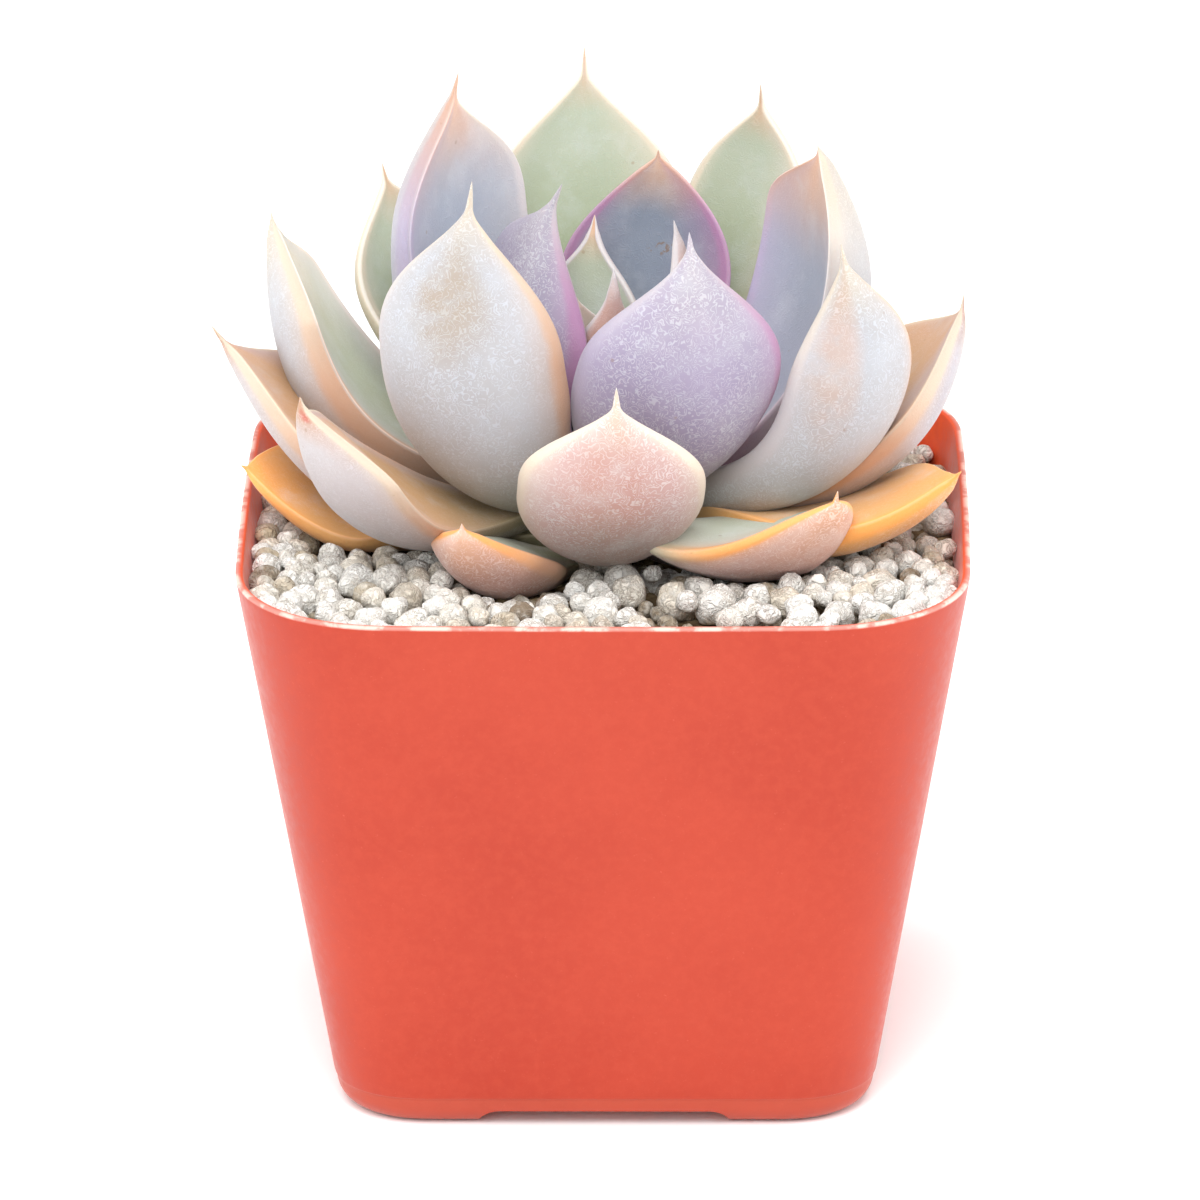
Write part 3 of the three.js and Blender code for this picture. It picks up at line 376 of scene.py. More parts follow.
REAR = dict(
    mid=dict(painted_light_gain=(1.2, 1.2), ad=[(0, "#8c8554"), (.5, "#a5a67c"), (.75, "#b9bea2"), (.9, "#dcd2b8"), (1, "#fcdcb8")], ab=[(0, "#8c8260"), (.35, "#b4aa94"), (.6, "#d0c8c0"), (.85, "#e4d8cc"), (1, "#fcd8b4")],
        el=[(0, "#a89c6c"), (.6, "#dcc8a4"), (1, "#fbe0c4")], er=[(0, "#a89c6c"), (.6, "#e0c8a8"), (1, "#fbe0c4")], sl=("#dcd2bc", .35), sr=("#d8cdb4", .35), laby=(.45, "#a58f7c")),
    low=dict(painted_light_gain=(1.25, 1.25), ad=[(0, "#7a6a3c"), (.4, "#a08e5a"), (.65, "#bfa468"), (.85, "#e0b678"), (1, "#ffc878")], ab=[(0, "#7c6a48"), (.35, "#a8946c"), (.6, "#cdb294"), (.85, "#deb08c"), (1, "#ffc07c")],
        el=[(0, "#a08c58"), (.6, "#dcb47c"), (1, "#ffce90")], er=[(0, "#a08c58"), (.6, "#dcb47c"), (1, "#ffce90")], sl=("#d8b27c", .35), sr=("#d8b27c", .35), laby=(.45, "#ac7f5c")),
    centre=dict(painted_light_gain=(1.1, 1.1), ad=[(0, "#9aa296"), (.6, "#b4b0a6"), (1, "#e4cabc")], ab=[(0, "#a89c94"), (.6, "#bda49c"), (.85, "#cba89c"), (1, "#f0dcd4")],
        el=[(0, "#b8a8a0"), (1, "#e8d4cc")], er=[(0, "#b8a8a0"), (1, "#e8d4cc")], laby=(.3, "#94786c")),
)


def leaf_material(name, look, seed):
    n = Nodes("flesh_" + name)
    s, v, f = n.attr("leaf_s"), n.attr("leaf_v"), n.attr("leaf_f")
    low = n.noise(95 + seed % 7, 3, 0.55)
    mid = n.noise(430, 4, 0.6)
    av = n.math("ABSOLUTE", v)
    sj = n.math("ADD", s, n.math("MULTIPLY", n.math("SUBTRACT", low, 0.5), 0.14))
    ab, ad = n.ramp(sj, look["ab"]), n.ramp(sj, look["ad"])
    inner = n.step(f, 0.35, 0.65)
    col = n.mix(inner, ab, ad)
    wob = n.math("ADD", v, n.math("MULTIPLY", n.math("SUBTRACT", mid, 0.5), 0.25))
    for key, a, b in (("sl", -0.15, -0.9), ("sr", 0.15, 0.9)):
        if key in look:
            c, k = look[key]
            col = n.mix(n.math("MULTIPLY", n.step(wob, a, b), k), col, c)
    if "rib" in look:
        c, k, s0, s1 = look["rib"]
        m = n.math("MULTIPLY", n.step(av, 0.16, 0.0), n.math("MULTIPLY", n.step(s, s0, s0 + 0.18), n.step(s, s1 + 0.04, s1 - 0.04)))
        col = n.mix(n.math("MULTIPLY", m, k), col, c)
    if "patch" in look:
        s0, v0, rs, rv, c, k = look["patch"]
        ds = n.math("DIVIDE", n.math("SUBTRACT", sj, s0), rs)
        dv = n.math("DIVIDE", n.math("SUBTRACT", wob, v0), rv)
        q = n.math("ADD", n.math("MULTIPLY", ds, ds), n.math("MULTIPLY", dv, dv))
        g = n.step(q, 1.6, 0.0)
        g = n.math("MULTIPLY", g, n.step(mid, 0.25, 0.6, 0.45, 1.0))
        col = n.mix(n.math("MULTIPLY", g, k), col, c)
    # fine maze of raised lines, with darker ground between them
    k, c = look["laby"]
    field = n.noise(look.get("maze", 1350), 0.5, 0.4, 1.1)
    line = n.step(n.math("PINGPONG", n.math("MULTIPLY", field, 9.0), 1.0), 0.58, 0.92)
    zone = n.step(low, 0.34, 0.6, 0.45, 1.0)
    amount = n.math("MULTIPLY", n.math("MULTIPLY", n.math("SUBTRACT", 1.0, line), zone), 0.48 * k)
    amount = n.math("MULTIPLY", amount, n.step(inner, 0.0, 1.0, 1.0, look.get("ad_maze", 0.2)))
    col = n.mix(amount, col, c)
    col = n.mix(n.math("MULTIPLY", n.math("MULTIPLY", n.math("MULTIPLY", line, zone), n.step(inner, 0.0, 1.0, 1.0, 0.3)), 0.48 * k), col, "#f6faff")
    # waxy bloom in clouds
    bloom = n.step(n.noise(210, 5, 0.62), 0.45, 0.75)
    col = n.mix(n.math("MULTIPLY", bloom, 0.22), col, "#eff4f9")
    # margins
    ew = look.get("edge_w", 0.06)
    edge = n.step(n.math("ADD", av, n.math("MULTIPLY", n.math("SUBTRACT", mid, 0.5), 0.05)), 1.0 - ew * 1.9, 1.0 - ew * 0.4)
    soft = n.step(av, 1.0 - ew * 5.5, 1.0)
    el, er = n.ramp(s, look["el"]), n.ramp(s, look["er"])
    ecol = n.mix(n.step(v, -0.1, 0.1), el, er)
    col = n.mix(n.math("MULTIPLY", soft, 0.35), col, ecol)
    col = n.mix(n.math("MULTIPLY", edge, 0.85), col, ecol)
    # the thin pale ridge that runs along each margin
    ridge = n.math("MULTIPLY", n.step(n.math("ABSOLUTE", n.math("SUBTRACT", f, 0.5)), 0.42, 0.12), n.step(s, *look.get("ridge_s", (0.2, 0.6)), look.get("ridge_w", 0.5) * (0.4 if "ridge_s" not in look else 0.0), look.get("ridge_w", 0.5)))
    col = n.mix(ridge, col, look.get("ridge", "#fffaf6"))
    # painted light: a common 0.715 scale and per-leaf factors for the outer and inner face, which lift the colour of
    # leaves lying in shade
    g0, g1 = [0.715 * q for q in look.get("painted_light_gain", (1.0, 1.0))]
    col = n.mix(1.0, col, n.mix(inner, [g0, g0, g0, 1], [g1, g1, g1, 1]), "MULTIPLY")
    col.node.clamp_result = True
    # a few tiny specks
    speck = n.step(n.voronoi(330), 0.085, 0.05)
    keep = n.step(n.noise(160, 1, 0.5), 0.56, 0.6)
    col = n.mix(n.math("MULTIPLY", n.math("MULTIPLY", speck, keep), 0.35), col, "#8b6a4a")
    if "dirt" in look:
        s0, v0, rs, rv = look["dirt"]
        ds = n.math("DIVIDE", n.math("SUBTRACT", s, s0), rs)
        dv = n.math("DIVIDE", n.math("SUBTRACT", v, v0), rv)
        q = n.math("ADD", n.math("MULTIPLY", ds, ds), n.math("MULTIPLY", dv, dv))
        bits = n.math("MULTIPLY", n.step(n.noise(1500, 3, 0.6, 0.5), 0.55, 0.62), n.step(q, 1.0, 0.55))
        col = n.mix(n.math("MULTIPLY", bits, 0.8), col, "#6e5848")
    rough = n.step(n.noise(300, 3, 0.6), 0.3, 0.7, 0.52, 0.68)
    h = n.math("ADD", n.math("MULTIPLY", line, 0.6), n.math("MULTIPLY", mid, 0.9))
    nm = n.bump(h, 0.28, 0.00012)
    nm = n.bump(n.noise(70, 2, 0.5), 0.25, 0.0006, nm)
    b = n.bsdf.inputs
    b["Subsurface Radius"].default_value = (1.0, 0.55, 0.4)
    return n.done(col, rough, nm, Specular_IOR_Level=0.32, Sheen_Weight=0.12, Sheen_Roughness=0.5, Subsurface_Weight=0.12, Subsurface_Scale=0.0015)


# ------------------------------------------------------------------ pot
def pot_rings():
    """Columns of the pot's outline: (kind, u) with kind a corner or a side, the same at every height."""
    cols = []
    side = [9.8, 10.1, 10.25, 10.45, 10.75, 11.1, 11.5, 11.9, 12.2, 12.42, 12.7, 13.4, 15.0]
    side = [0, 2.5, 5.0, 7.5] + side
    us = sorted(set([x / 17.0 for x in side] + [-x / 17.0 for x in side]), reverse=True)
    for q in range(4):
        for t in np.linspace(0, np.pi / 2, 19):
            cols.append((q, "c", t))
        for u in us:
            cols.append((q, "s", u))
    return cols


COLS = pot_rings()


def outline(z, inset):
    t = z / POT_H
    w = BASE_W + (RIM_W - BASE_W) * t - 2 * inset
    c = max(1.2, CORNER_BOT + (CORNER_TOP - CORNER_BOT) * t - inset * 0.8)
    h, out = w / 2, []
    for q, kind, u in COLS:
        if kind == "c":
            x, y = h - c + c * max(0.0, math.cos(u)) ** (2 / CORNER_N), h - c + c * max(0.0, math.sin(u)) ** (2 / CORNER_N)
        else:
            x, y = (h - c) * u, h
        ca, sa = [(1, 0), (0, 1), (-1, 0), (0, -1)][q]
        out.append((ca * x - sa * y, sa * x + ca * y))
    P = np.array(out)
    b = BULGE * np.clip(t, 0, 1.2)
    bx = b * (1 - (P[:, 1] / h) ** 2) * np.abs(P[:, 0] / h) ** 6 * np.sign(P[:, 0])
    by = b * (1 - (P[:, 0] / h) ** 2) * np.abs(P[:, 1] / h) ** 6 * np.sign(P[:, 1])
    return np.column_stack([P[:, 0] + bx, P[:, 1] + by])


def notch_z(u):
    """Height of the bottom edge at u along a side."""
    x = abs(u) * 17.0
    if x >= 12.4:
        return 0.0
    if x <= 10.1:
        return FLOOR_Z
    t = (x - 10.1) / 2.3
    return FLOOR_Z * (1 - t ** 2.2) ** 0.62 if t < 1 else 0.0


def build_pot():
    zb = np.array([0.0 if k == "c" else notch_z(u) for _, k, u in COLS])
    rings = []

    def add(z, inset, low=None):
        zz = np.maximum(z, zb if low is None else low)
        pts = np.zeros((len(COLS), 3))
        for val in np.unique(np.round(zz, 5)):
            m = np.abs(zz - val) < 1e-4
            i = inset(val) if callable(inset) else inset
            o = outline(val, i)
            pts[m, :2] = o[m]
            pts[m, 2] = val
        rings.append(pts)

    fil = lambda z: (2.0 - math.sqrt(max(0.0, 4.0 - (2.0 - min(z, 2.0)) ** 2))) + (0.13 if z < 3.0 else 0.0)
    # underside, from the middle of the floor to the feet
    for k in (0.02, 0.25, 0.5, 0.75, 0.97):
        o = outline(FLOOR_Z, FOOT_W) * k
        rings.append(np.column_stack([o, np.full(len(COLS), FLOOR_Z)]))
    o = outline(FLOOR_Z, FOOT_W)
    rings.append(np.column_stack([o, np.full(len(COLS), FLOOR_Z)]))
    add(0.25, FOOT_W)
    add(0.0, FOOT_W - 0.2)
    add(0.0, 3.2)
    for z in (0.0, 0.02, 0.08, 0.2, 0.38, 0.6, 0.9, 1.2, 1.5, 1.75, 2.0, 2.5, 2.93):
        add(z, fil)
    add(3.0, 0.10)
    add(3.06, 0.02)
    add(3.16, 0.0)
    for z in np.linspace(5, POT_H - 1.2, 14):
        add(z, 0.0)
    r = 0.25
    for a in np.linspace(0, np.pi / 2, 6):
        add(POT_H - r + r * math.sin(a), r - r * math.cos(a))
    for a in np.linspace(np.pi / 2, 0, 6):
        add(POT_H - r + r * math.sin(a), WALL - r + r * math.cos(a))
    for z in (POT_H - 1.0, POT_H - 2.5, POT_H - 5, POT_H - 9, POT_H - 20, POT_H - 35, 6.0):
        add(z, WALL)
    ft = FLOOR_Z + FLOOR_T
    add(ft + 1.0, WALL + 0.05)
    add(ft + 0.3, WALL + 0.35)
    add(ft, WALL + 1.0)
    for k in (0.75, 0.5, 0.25, 0.02):
        o = outline(ft, WALL + 1.0) * k
        rings.append(np.column_stack([o, np.full(len(COLS), ft)]))
    n = len(COLS)
    verts = list(np.vstack(rings))
    faces = []
    for i in range(len(rings) - 1):
        for j in range(n):
            k = (j + 1) % n
            faces.append((i * n + j, i * n + k, (i + 1) * n + k, (i + 1) * n + j))
    a, b = len(verts), len(verts) + 1
    verts += [np.array([0, 0, FLOOR_Z]), np.array([0, 0, ft])]
    last = (len(rings) - 1) * n
    for j in range(n):
        k = (j + 1) % n
        faces.append((a, k, j))
        faces.append((b, last + j, last + k))
    verts = (np.array(verts) + np.array([OFF_X, 0, 0])) * MM
    ob = new_mesh("pot_shell", verts, faces)
    orient(ob)
    # drain holes
    cut = bmesh.new()
    for x, y in ((0, 0), (12, 12), (-12, 12), (12, -12), (-12, -12)):
        m = Matrix.Translation(((x + OFF_X) * MM, y * MM, 2.2 * MM))
        bmesh.ops.create_cone(cut, cap_ends=True, segments=28, radius1=1.8 * MM, radius2=1.8 * MM, depth=6 * MM, matrix=m)
    me = bpy.data.meshes.new("drain_cut")
    cut.to_mesh(me)
    cut.free()
    cutter = bpy.data.objects.new("drain_cut", me)
    bpy.context.scene.collection.objects.link(cutter)
    mod = ob.modifiers.new("drain", "BOOLEAN")
    mod.operation, mod.object, mod.solver = "DIFFERENCE", cutter, "EXACT"
    apply(ob)
    bpy.data.objects.remove(cutter)
    ob.data.polygons.foreach_set("use_smooth", [True] * len(ob.data.polygons))
    # how far each point is through the wall, 0 outside and 1 inside
    co = np.array([v.co for v in ob.data.vertices]) / MM - np.array([OFF_X, 0, 0])
    val = np.zeros(len(co))
    for z in np.unique(np.round(co[:, 2], 3)):
        m = np.abs(co[:, 2] - z) < 6e-4
        o = outline(z, 0.0)
        k = np.argsort(np.arctan2(o[:, 1], o[:, 0]))
        rad = np.interp(np.arctan2(co[m, 1], co[m, 0]), np.arctan2(o[k, 1], o[k, 0]), np.hypot(*o[k].T), period=2 * np.pi)
        val[m] = np.clip((rad - np.hypot(co[m, 0], co[m, 1])) / WALL, 0, 1) if z > FLOOR_Z + 0.5 else 0
    at = ob.data.attributes.new("pot_inner", "FLOAT", "POINT")
    at.data.foreach_set("value", np.clip((val - 0.55) / 0.4, 0, 1).astype(np.float32))
    return ob


def apply(ob):
    dg = bpy.context.evaluated_depsgraph_get()
    me = bpy.data.meshes.new_from_object(ob.evaluated_get(dg))
    ob.modifiers.clear()
    old = ob.data
    ob.data = me
    bpy.data.meshes.remove(old)


def sharp_by_angle(ob, deg):
    me = ob.data
    bm = bmesh.new()
    bm.from_mesh(me)
    for e in bm.edges:
        e.smooth = not (len(e.link_faces) == 2 and e.calc_face_angle(0) > math.radians(deg))
    bm.to_mesh(me)
    bm.free()


def pot_material():
    n = Nodes("pot_plastic")
    sep = n.t.nodes.new("ShaderNodeSeparateXYZ")
    n.put(sep.inputs[0], n.coord)
    z = sep.outputs["Z"]
    big = n.noise(38, 3, 0.55)
    fine = n.noise(2600, 3, 0.7)
    grain = n.noise(900, 4, 0.65)
    col = n.mix(n.step(big, 0.3, 0.7), "#a62d11", "#ae351a")
    col = n.mix(n.math("MULTIPLY", n.step(grain, 0.35, 0.75), 0.2), col, "#c4523a")
    col = n.mix(n.math("MULTIPLY", n.step(fine, 0.62, 0.8), 0.26), col, "#d8745c")
    foot = n.step(z, 0.0034, 0.0028)
    col = n.mix(n.math("MULTIPLY", foot, 0.35), col, "#b0543e")
    inner = n.attr("pot_inner")
    # painted highlight: a broken pale pink line along the top outer edge of the rim, with gaps from noise
    rim_highlight_breaks = n.step(n.noise(330, 4, 0.65), 0.40, 0.60)
    rim = n.math("MULTIPLY", n.step(z, (POT_H - 0.42) * MM, (POT_H - 0.16) * MM), n.math("SUBTRACT", 1.0, inner))
    col = n.mix(n.math("MULTIPLY", rim, n.step(rim_highlight_breaks, 0.0, 1.0, 0.30, 0.85)), col, "#fbcabd")
    # painted light: the inner wall gets its own brighter, redder tone that sets how it looks in the shade inside the
    # pot
    inner_wall_painted_light = n.mix(n.step(grain, 0.3, 0.7), "#dc4610", "#e6541c")
    col = n.mix(inner, col, inner_wall_painted_light)
    rough = n.step(grain, 0.3, 0.7, 0.40, 0.54)
    nm = n.bump(fine, 0.10, 0.00005)
    nm = n.bump(grain, 0.12, 0.0001, nm)
    nm = n.bump(big, 0.20, 0.0005, nm)
    b = n.bsdf.inputs
    b["Subsurface Radius"].default_value = (1.0, 0.3, 0.2)
    return n.done(col, rough, nm, Specular_IOR_Level=0.38, Subsurface_Weight=0.05, Subsurface_Scale=0.0008, Sheen_Weight=0.17, Sheen_Roughness=0.30)


# ------------------------------------------------------------------ pumice
def ico(sub):
    bm = bmesh.new()
    bmesh.ops.create_icosphere(bm, subdivisions=sub, radius=1.0)
    v = np.array([x.co for x in bm.verts])
    f = np.array([[q.index for q in x.verts] for x in bm.faces])
    bm.free()
    return v, f


# the larger pebbles that can be told apart: x, y, radius (mm from the pot's axis) and tone, 0 whitest; the dark tones
# of the stones by the walls are partly painted shade, partly dirt
PEBBLES = [(-33.2, -2.7, 1.10, 0.93), (-31.1, -4.1, 1.23, 0.50), (-32.9, -10.0, 1.23, 0.92), (-30.6, -12.5, 0.74, 0.10), (-26.5, -8.5, 1.77, 0.10), (-23.7, -16.0, 1.72, 0.05), (-21.2, -8.1, 1.59, 0.84), (-18.0, -15.8, 1.47, 0.81), (-23.8, -10.6, 0.86, 0.80), (-30.4, -17.4, 1.47, 0.10), (-32.7, -19.1, 1.10, 0.88), (-28.6, -17.6, 0.93, 0.15), (-26.2, -22.4, 1.47, 0.30), (-20.8, -18.7, 0.98, 0.30), (-14.9, -23.0, 1.23, 0.60), (-19.9, -25.0, 1.59, 0.15), (-26.5, -26.6, 1.23, 0.40), (-29.9, -23.8, 1.35, 0.20), (33.2, -14.7, 1.47, 0.84), (27.3, -21.6, 1.35, 0.25), (24.2, -9.1, 1.10, 0.10), (24.6, -14.6, 1.03, 0.05), (27.3, -13.4, 1.35, 0.05), (20.7, -18.5, 1.23, 0.35), (29.3, -6.2, 1.10, 0.30), (31.0, -13.7, 1.23, 0.10), (30.0, -18.4, 1.10, 0.20), (30.1, -23.0, 1.35, 0.30), (21.3, -23.0, 0.93, 0.45), (24.8, -18.6, 0.86, 0.10), (18.2, -18.6, 1.47, 0.20), (18.7, -24.3, 1.59, 0.15), (16.0, -26.6, 1.23, 0.05), (24.9, -23.7, 1.23, 0.15), (22.8, -26.3, 1.47, 0.10), (14.9, -21.6, 1.35, 0.25), (31.5, -5.4, 1.23, 0.35), (33.2, -6.3, 1.23, 0.60)]


def surface_z(x, y):
    """Top of the pumice, from the rim plane."""
    t = np.clip((y + 30) / 58, 0, 1)
    return -0.95 - 2.5 * t * t * (3 - 2 * t)


def stones(count, r_lo, r_hi, depth, seed, fixed=()):
    """Packed discs in the pot's mouth, spread by repulsion. Rows: x, y, z, r, tone (-1: any)."""
    r = np.random.RandomState(seed)
    o = outline(POT_H - 2.5, WALL + 0.1)
    ang = np.sort(np.arctan2(o[:, 1], o[:, 0]))
    order = np.argsort(np.arctan2(o[:, 1], o[:, 0]))
    rad = np.hypot(*o[order].T)

    def limit(p, rr):
        a = np.arctan2(p[:, 1], p[:, 0])
        m = np.interp(a, ang, rad, period=2 * np.pi) - rr * 0.98
        d = np.hypot(p[:, 0], p[:, 1])
        k = np.minimum(1, m / np.maximum(d, 1e-6))
        return p * k[:, None]

    nf = len(fixed)
    fx = np.array([q[:2] for q in fixed]).reshape(-1, 2)
    p = np.vstack([fx, r.uniform(-34, 34, (count, 2))])
    size = np.concatenate([[q[2] for q in fixed], r_lo + (r_hi - r_lo) * r.beta(1.3, 2.0, count)])
    p = limit(p, size)
    for it in range(140):
        cell = 5.0
        key = np.floor(p / cell).astype(int)
        grid = {}
        for i, kk in enumerate(map(tuple, key)):
            grid.setdefault(kk, []).append(i)
        move = np.zeros_like(p)
        for (a, b), mem in grid.items():
            near = [j for da in (-1, 0, 1) for db in (-1, 0, 1) for j in grid.get((a + da, b + db), ())]
            near, mem = np.array(near), np.array(mem)
            d = p[mem][:, None] - p[near][None]
            L = np.hypot(d[..., 0], d[..., 1]) + 1e-6
            want = (size[mem][:, None] + size[near][None]) * 1.0
            push = np.clip(want - L, 0, None) * (mem[:, None] != near[None])
            move[mem] += ((d / L[..., None]) * push[..., None]).sum(1) * 0.35
        move[:nf] *= 0.0
        p = limit(p + np.clip(move, -0.8, 0.8), size)
    jit = r.uniform(-0.35, 0.25, len(p))
    jit[:nf] = 0.05
    z = surface_z(p[:, 0], p[:, 1]) - size * 0.80 - depth + jit
    tone = np.concatenate([[q[3] for q in fixed], -np.ones(count)])
    return np.column_stack([p, z, size, tone])


def stone_mesh(name, rows, sub, seed, leaves_tree):
    r = np.random.RandomState(seed)
    bv, bf = ico(sub)
    V, F, T, B, Z = [], [], [], [], []
    k = 0
    for x, y, z, rad, own in rows:
        q = r.normal(size=4)
        q /= np.linalg.norm(q)
        w0, a, b, c = q
        R = np.array([[1 - 2 * (b * b + c * c), 2 * (a * b - w0 * c), 2 * (a * c + w0 * b)], [2 * (a * b + w0 * c), 1 - 2 * (a * a + c * c), 2 * (b * c - w0 * a)], [2 * (a * c - w0 * b), 2 * (b * c + w0 * a), 1 - 2 * (a * a + b * b)]])
        ax = r.uniform(0.86, 1.10, 3)
        g = np.zeros(len(bv))
        for _ in range(4):
            d = r.normal(size=3)
            g += 0.042 * np.sin(bv @ d * 2.1 + r.uniform(0, 6.28))
        for _ in range(6):
            d = r.normal(size=3)
            g += 0.019 * np.sin(bv @ d * 5.5 + r.uniform(0, 6.28))
        # a flattened facet, as in tumbled pumice
        for _ in range(4):
            d = r.normal(size=3)
            d /= np.linalg.norm(d)
            h = bv @ d
            g -= np.clip(h - r.uniform(0.72, 0.90), 0, None) * 0.8
        P = (bv * (1 + g)[:, None] * ax * rad) @ R.T
        tone = float(r.uniform())
        tone = float(own) if own >= 0 else tone
        cx = np.array([x, y, z])
        # never through a leaf: it goes down until it is clear, or is left out
        ok = leaves_tree is None
        for _ in range(16):
            if ok:
                break
            co = Vector((cx + np.array([OFF_X, 0, POT_H])) * MM)
            hit = leaves_tree.find_nearest(co)
            if hit[0] is None:
                ok = True
                break
            dist = (co - hit[0]).length / MM
            inside = (co - hit[0]).dot(hit[1]) < 0
            if not inside and dist > rad * 0.86:
                ok = True
                break
            cx = cx - np.array([0, 0, 0.35])
            if cx[2] < -7.0:
                break
        if not ok:
            continue
        # and it never rises in front of the lower edge of a leaf that rests on the bed
        for _ in range(10):
            tips = [cx + np.array([side * rad * 0.5, 0.342 * rad * high, 0.94 * rad * high]) for side in (-1, 0, 1) for high in [0.45 if own >= 0 else 0.85]]
            if leaves_tree is None or all(leaves_tree.ray_cast(Vector((q + np.array([OFF_X, 0, POT_H])) * MM), Vector((0, 0.94, -0.342)), 0.012)[0] is None for q in tips):
                break
            cx = cx - np.array([0, 0, 0.25])
        V.append((P + cx + np.array([OFF_X, 0, POT_H])) * MM)
        F.append(bf + k)
        k += len(bv)
        T.append(np.full(len(bv), tone))
        Z.append((P[:, 2] - P[:, 2].min()) / max(1e-6, np.ptp(P[:, 2])))
        B.append(np.full(len(bv), float(r.uniform())))
    return new_mesh(name, np.vstack(V), np.vstack(F), attrs={"stone_tone": np.concatenate(T), "stone_seed": np.concatenate(B), "stone_up": np.concatenate(Z)})


def stone_material(name="pumice"):
    n = Nodes(name)
    tone, seed = n.attr("stone_tone"), n.attr("stone_seed")
    col = n.ramp(tone, [(0, "#fffdf8"), (.45, "#fdf9f2"), (.68, "#f9f3e8"), (.80, "#f0e6d6"), (.88, "#d9cfc0"), (.93, "#c9b99e"), (.97, "#a89b8a"), (1, "#7d6750")], "LINEAR")
    own = n.math("MULTIPLY", n.math("SUBTRACT", seed, 0.5), 0.22)
    stain = n.step(n.math("ADD", n.noise(330, 4, 0.6, 0.3), own), 0.52, 0.74)
    col = n.mix(n.math("MULTIPLY", stain, 0.26), col, "#d2bf9c")
    grime = n.step(n.math("SUBTRACT", n.noise(520, 4, 0.62, 0.5), own), 0.57, 0.72)
    col = n.mix(n.math("MULTIPLY", grime, 0.18), col, "#aea18e")
    wrinkle = n.math("ABSOLUTE", n.math("SUBTRACT", n.noise(1150, 4, 0.62, 0.7), 0.5))
    # painted shade and dirt: dark brown lines along the wrinkle creases
    crease_shade_and_dirt = n.math("MULTIPLY", n.step(wrinkle, 0.05, 0.0), n.step(n.noise(260, 2, 0.5), 0.36, 0.58, 0.25, 1.0))
    col = n.mix(n.math("MULTIPLY", crease_shade_and_dirt, 0.62), col, "#6a5236")
    # painted shade and dirt: each stone turns darker brown towards its bottom, where it sits among the others
    foot = n.step(n.math("ADD", n.attr("stone_up"), n.math("MULTIPLY", n.math("SUBTRACT", n.noise(500, 3, 0.6), 0.5), 0.5)), 0.36, 0.10)
    col = n.mix(n.math("MULTIPLY", foot, 0.62), col, "#6a563e")
    chalk = n.step(n.noise(900, 3, 0.6), 0.45, 0.7)
    col = n.mix(n.math("MULTIPLY", chalk, 0.40), col, "#fdfbf6")
    h = n.math("ADD", n.math("MULTIPLY", n.step(wrinkle, 0.0, 0.12), 0.8), n.math("MULTIPLY", n.noise(1500, 5, 0.7), 1.3))
    nm = n.bump(h, 0.85, 0.00026)
    nm = n.bump(n.noise(520, 4, 0.62, 0.5), 0.6, 0.0006, nm)
    return n.done(col, 0.92, nm, Specular_IOR_Level=0.2)


def build_bed():
    """The pumice below the top stones, as one closed rough layer, coloured dark brown as painted shade and dirt in the
    gaps between the stones.
    """
    fs = [1, 0.93, 0.84, 0.75, 0.66, 0.57, 0.48, 0.39, 0.3, 0.2, 0.1]
    o, ob_ = outline(POT_H - 4.2, WALL + 0.05), outline(POT_H - 7.3, WALL + 0.05)
    rings = [np.column_stack([ob_ * k, np.full(len(COLS), POT_H - 7.3)]) for k in (0.05, 0.5, 1.0)]
    for k in fs:
        p = o * k
        zz = POT_H - 4.0 + surface_z(p[:, 0], p[:, 1]) * 0.45 + 0.4 * np.sin(p[:, 0] * 1.7) * np.cos(p[:, 1] * 1.9)
        rings.append(np.column_stack([p, zz]))
    n = len(COLS)
    verts = list(np.vstack(rings))
    faces = [(i * n + j, i * n + (j + 1) % n, (i + 1) * n + (j + 1) % n, (i + 1) * n + j) for i in range(len(rings) - 1) for j in range(n)]
    a, b = len(verts), len(verts) + 1
    verts += [np.array([0, 0, POT_H - 7.3]), rings[-1].mean(0)]
    last = (len(rings) - 1) * n
    for j in range(n):
        faces += [(a, (j + 1) % n, j), (b, last + j, last + (j + 1) % n)]
    ob = new_mesh("pumice_bed", (np.array(verts) + np.array([OFF_X, 0, 0])) * MM, faces)
    return orient(ob)


def bed_shade_and_dirt_material():
    n = Nodes("pumice_bed")
    v = n.voronoi(620)
    # painted shade and dirt: dark browns that show through the gaps between the stones
    col = n.ramp(v, [(0, "#a8987c"), (.35, "#8c7858"), (.6, "#54422c"), (1, "#3a2c1c")], "LINEAR")
    col = n.mix(n.math("MULTIPLY", n.step(n.noise(300, 4, 0.6), 0.4, 0.7), 0.5), col, "#8f7b5e")
    nm = n.bump(n.math("SUBTRACT", 1.0, v), 0.8, 0.0012)
    return n.done(col, 0.95, nm, Specular_IOR_Level=0.2)


def soil_material():
    n = Nodes("potting_mix")
    col = n.ramp(n.noise(700, 5, 0.7), [(0.25, "#2a1d14"), (.5, "#4a3524"), (.68, "#6b4d33"), (.8, "#a08c70")])
    col = n.mix(n.step(n.voronoi(900), 0.2, 0.08), col, "#c9c0ae")
    return n.done(col, 0.95, n.bump(n.noise(900, 5, 0.7), 0.9, 0.0008), Specular_IOR_Level=0.2)


def stem_material():
    n = Nodes("stem_tissue")
    col = n.ramp(n.noise(350, 4, 0.6), [(0.3, "#6d5836"), (.55, "#93814f"), (.75, "#b3a277")])
    return n.done(col, 0.8, n.bump(n.noise(900, 4, 0.6), 0.5, 0.0003), Specular_IOR_Level=0.25)


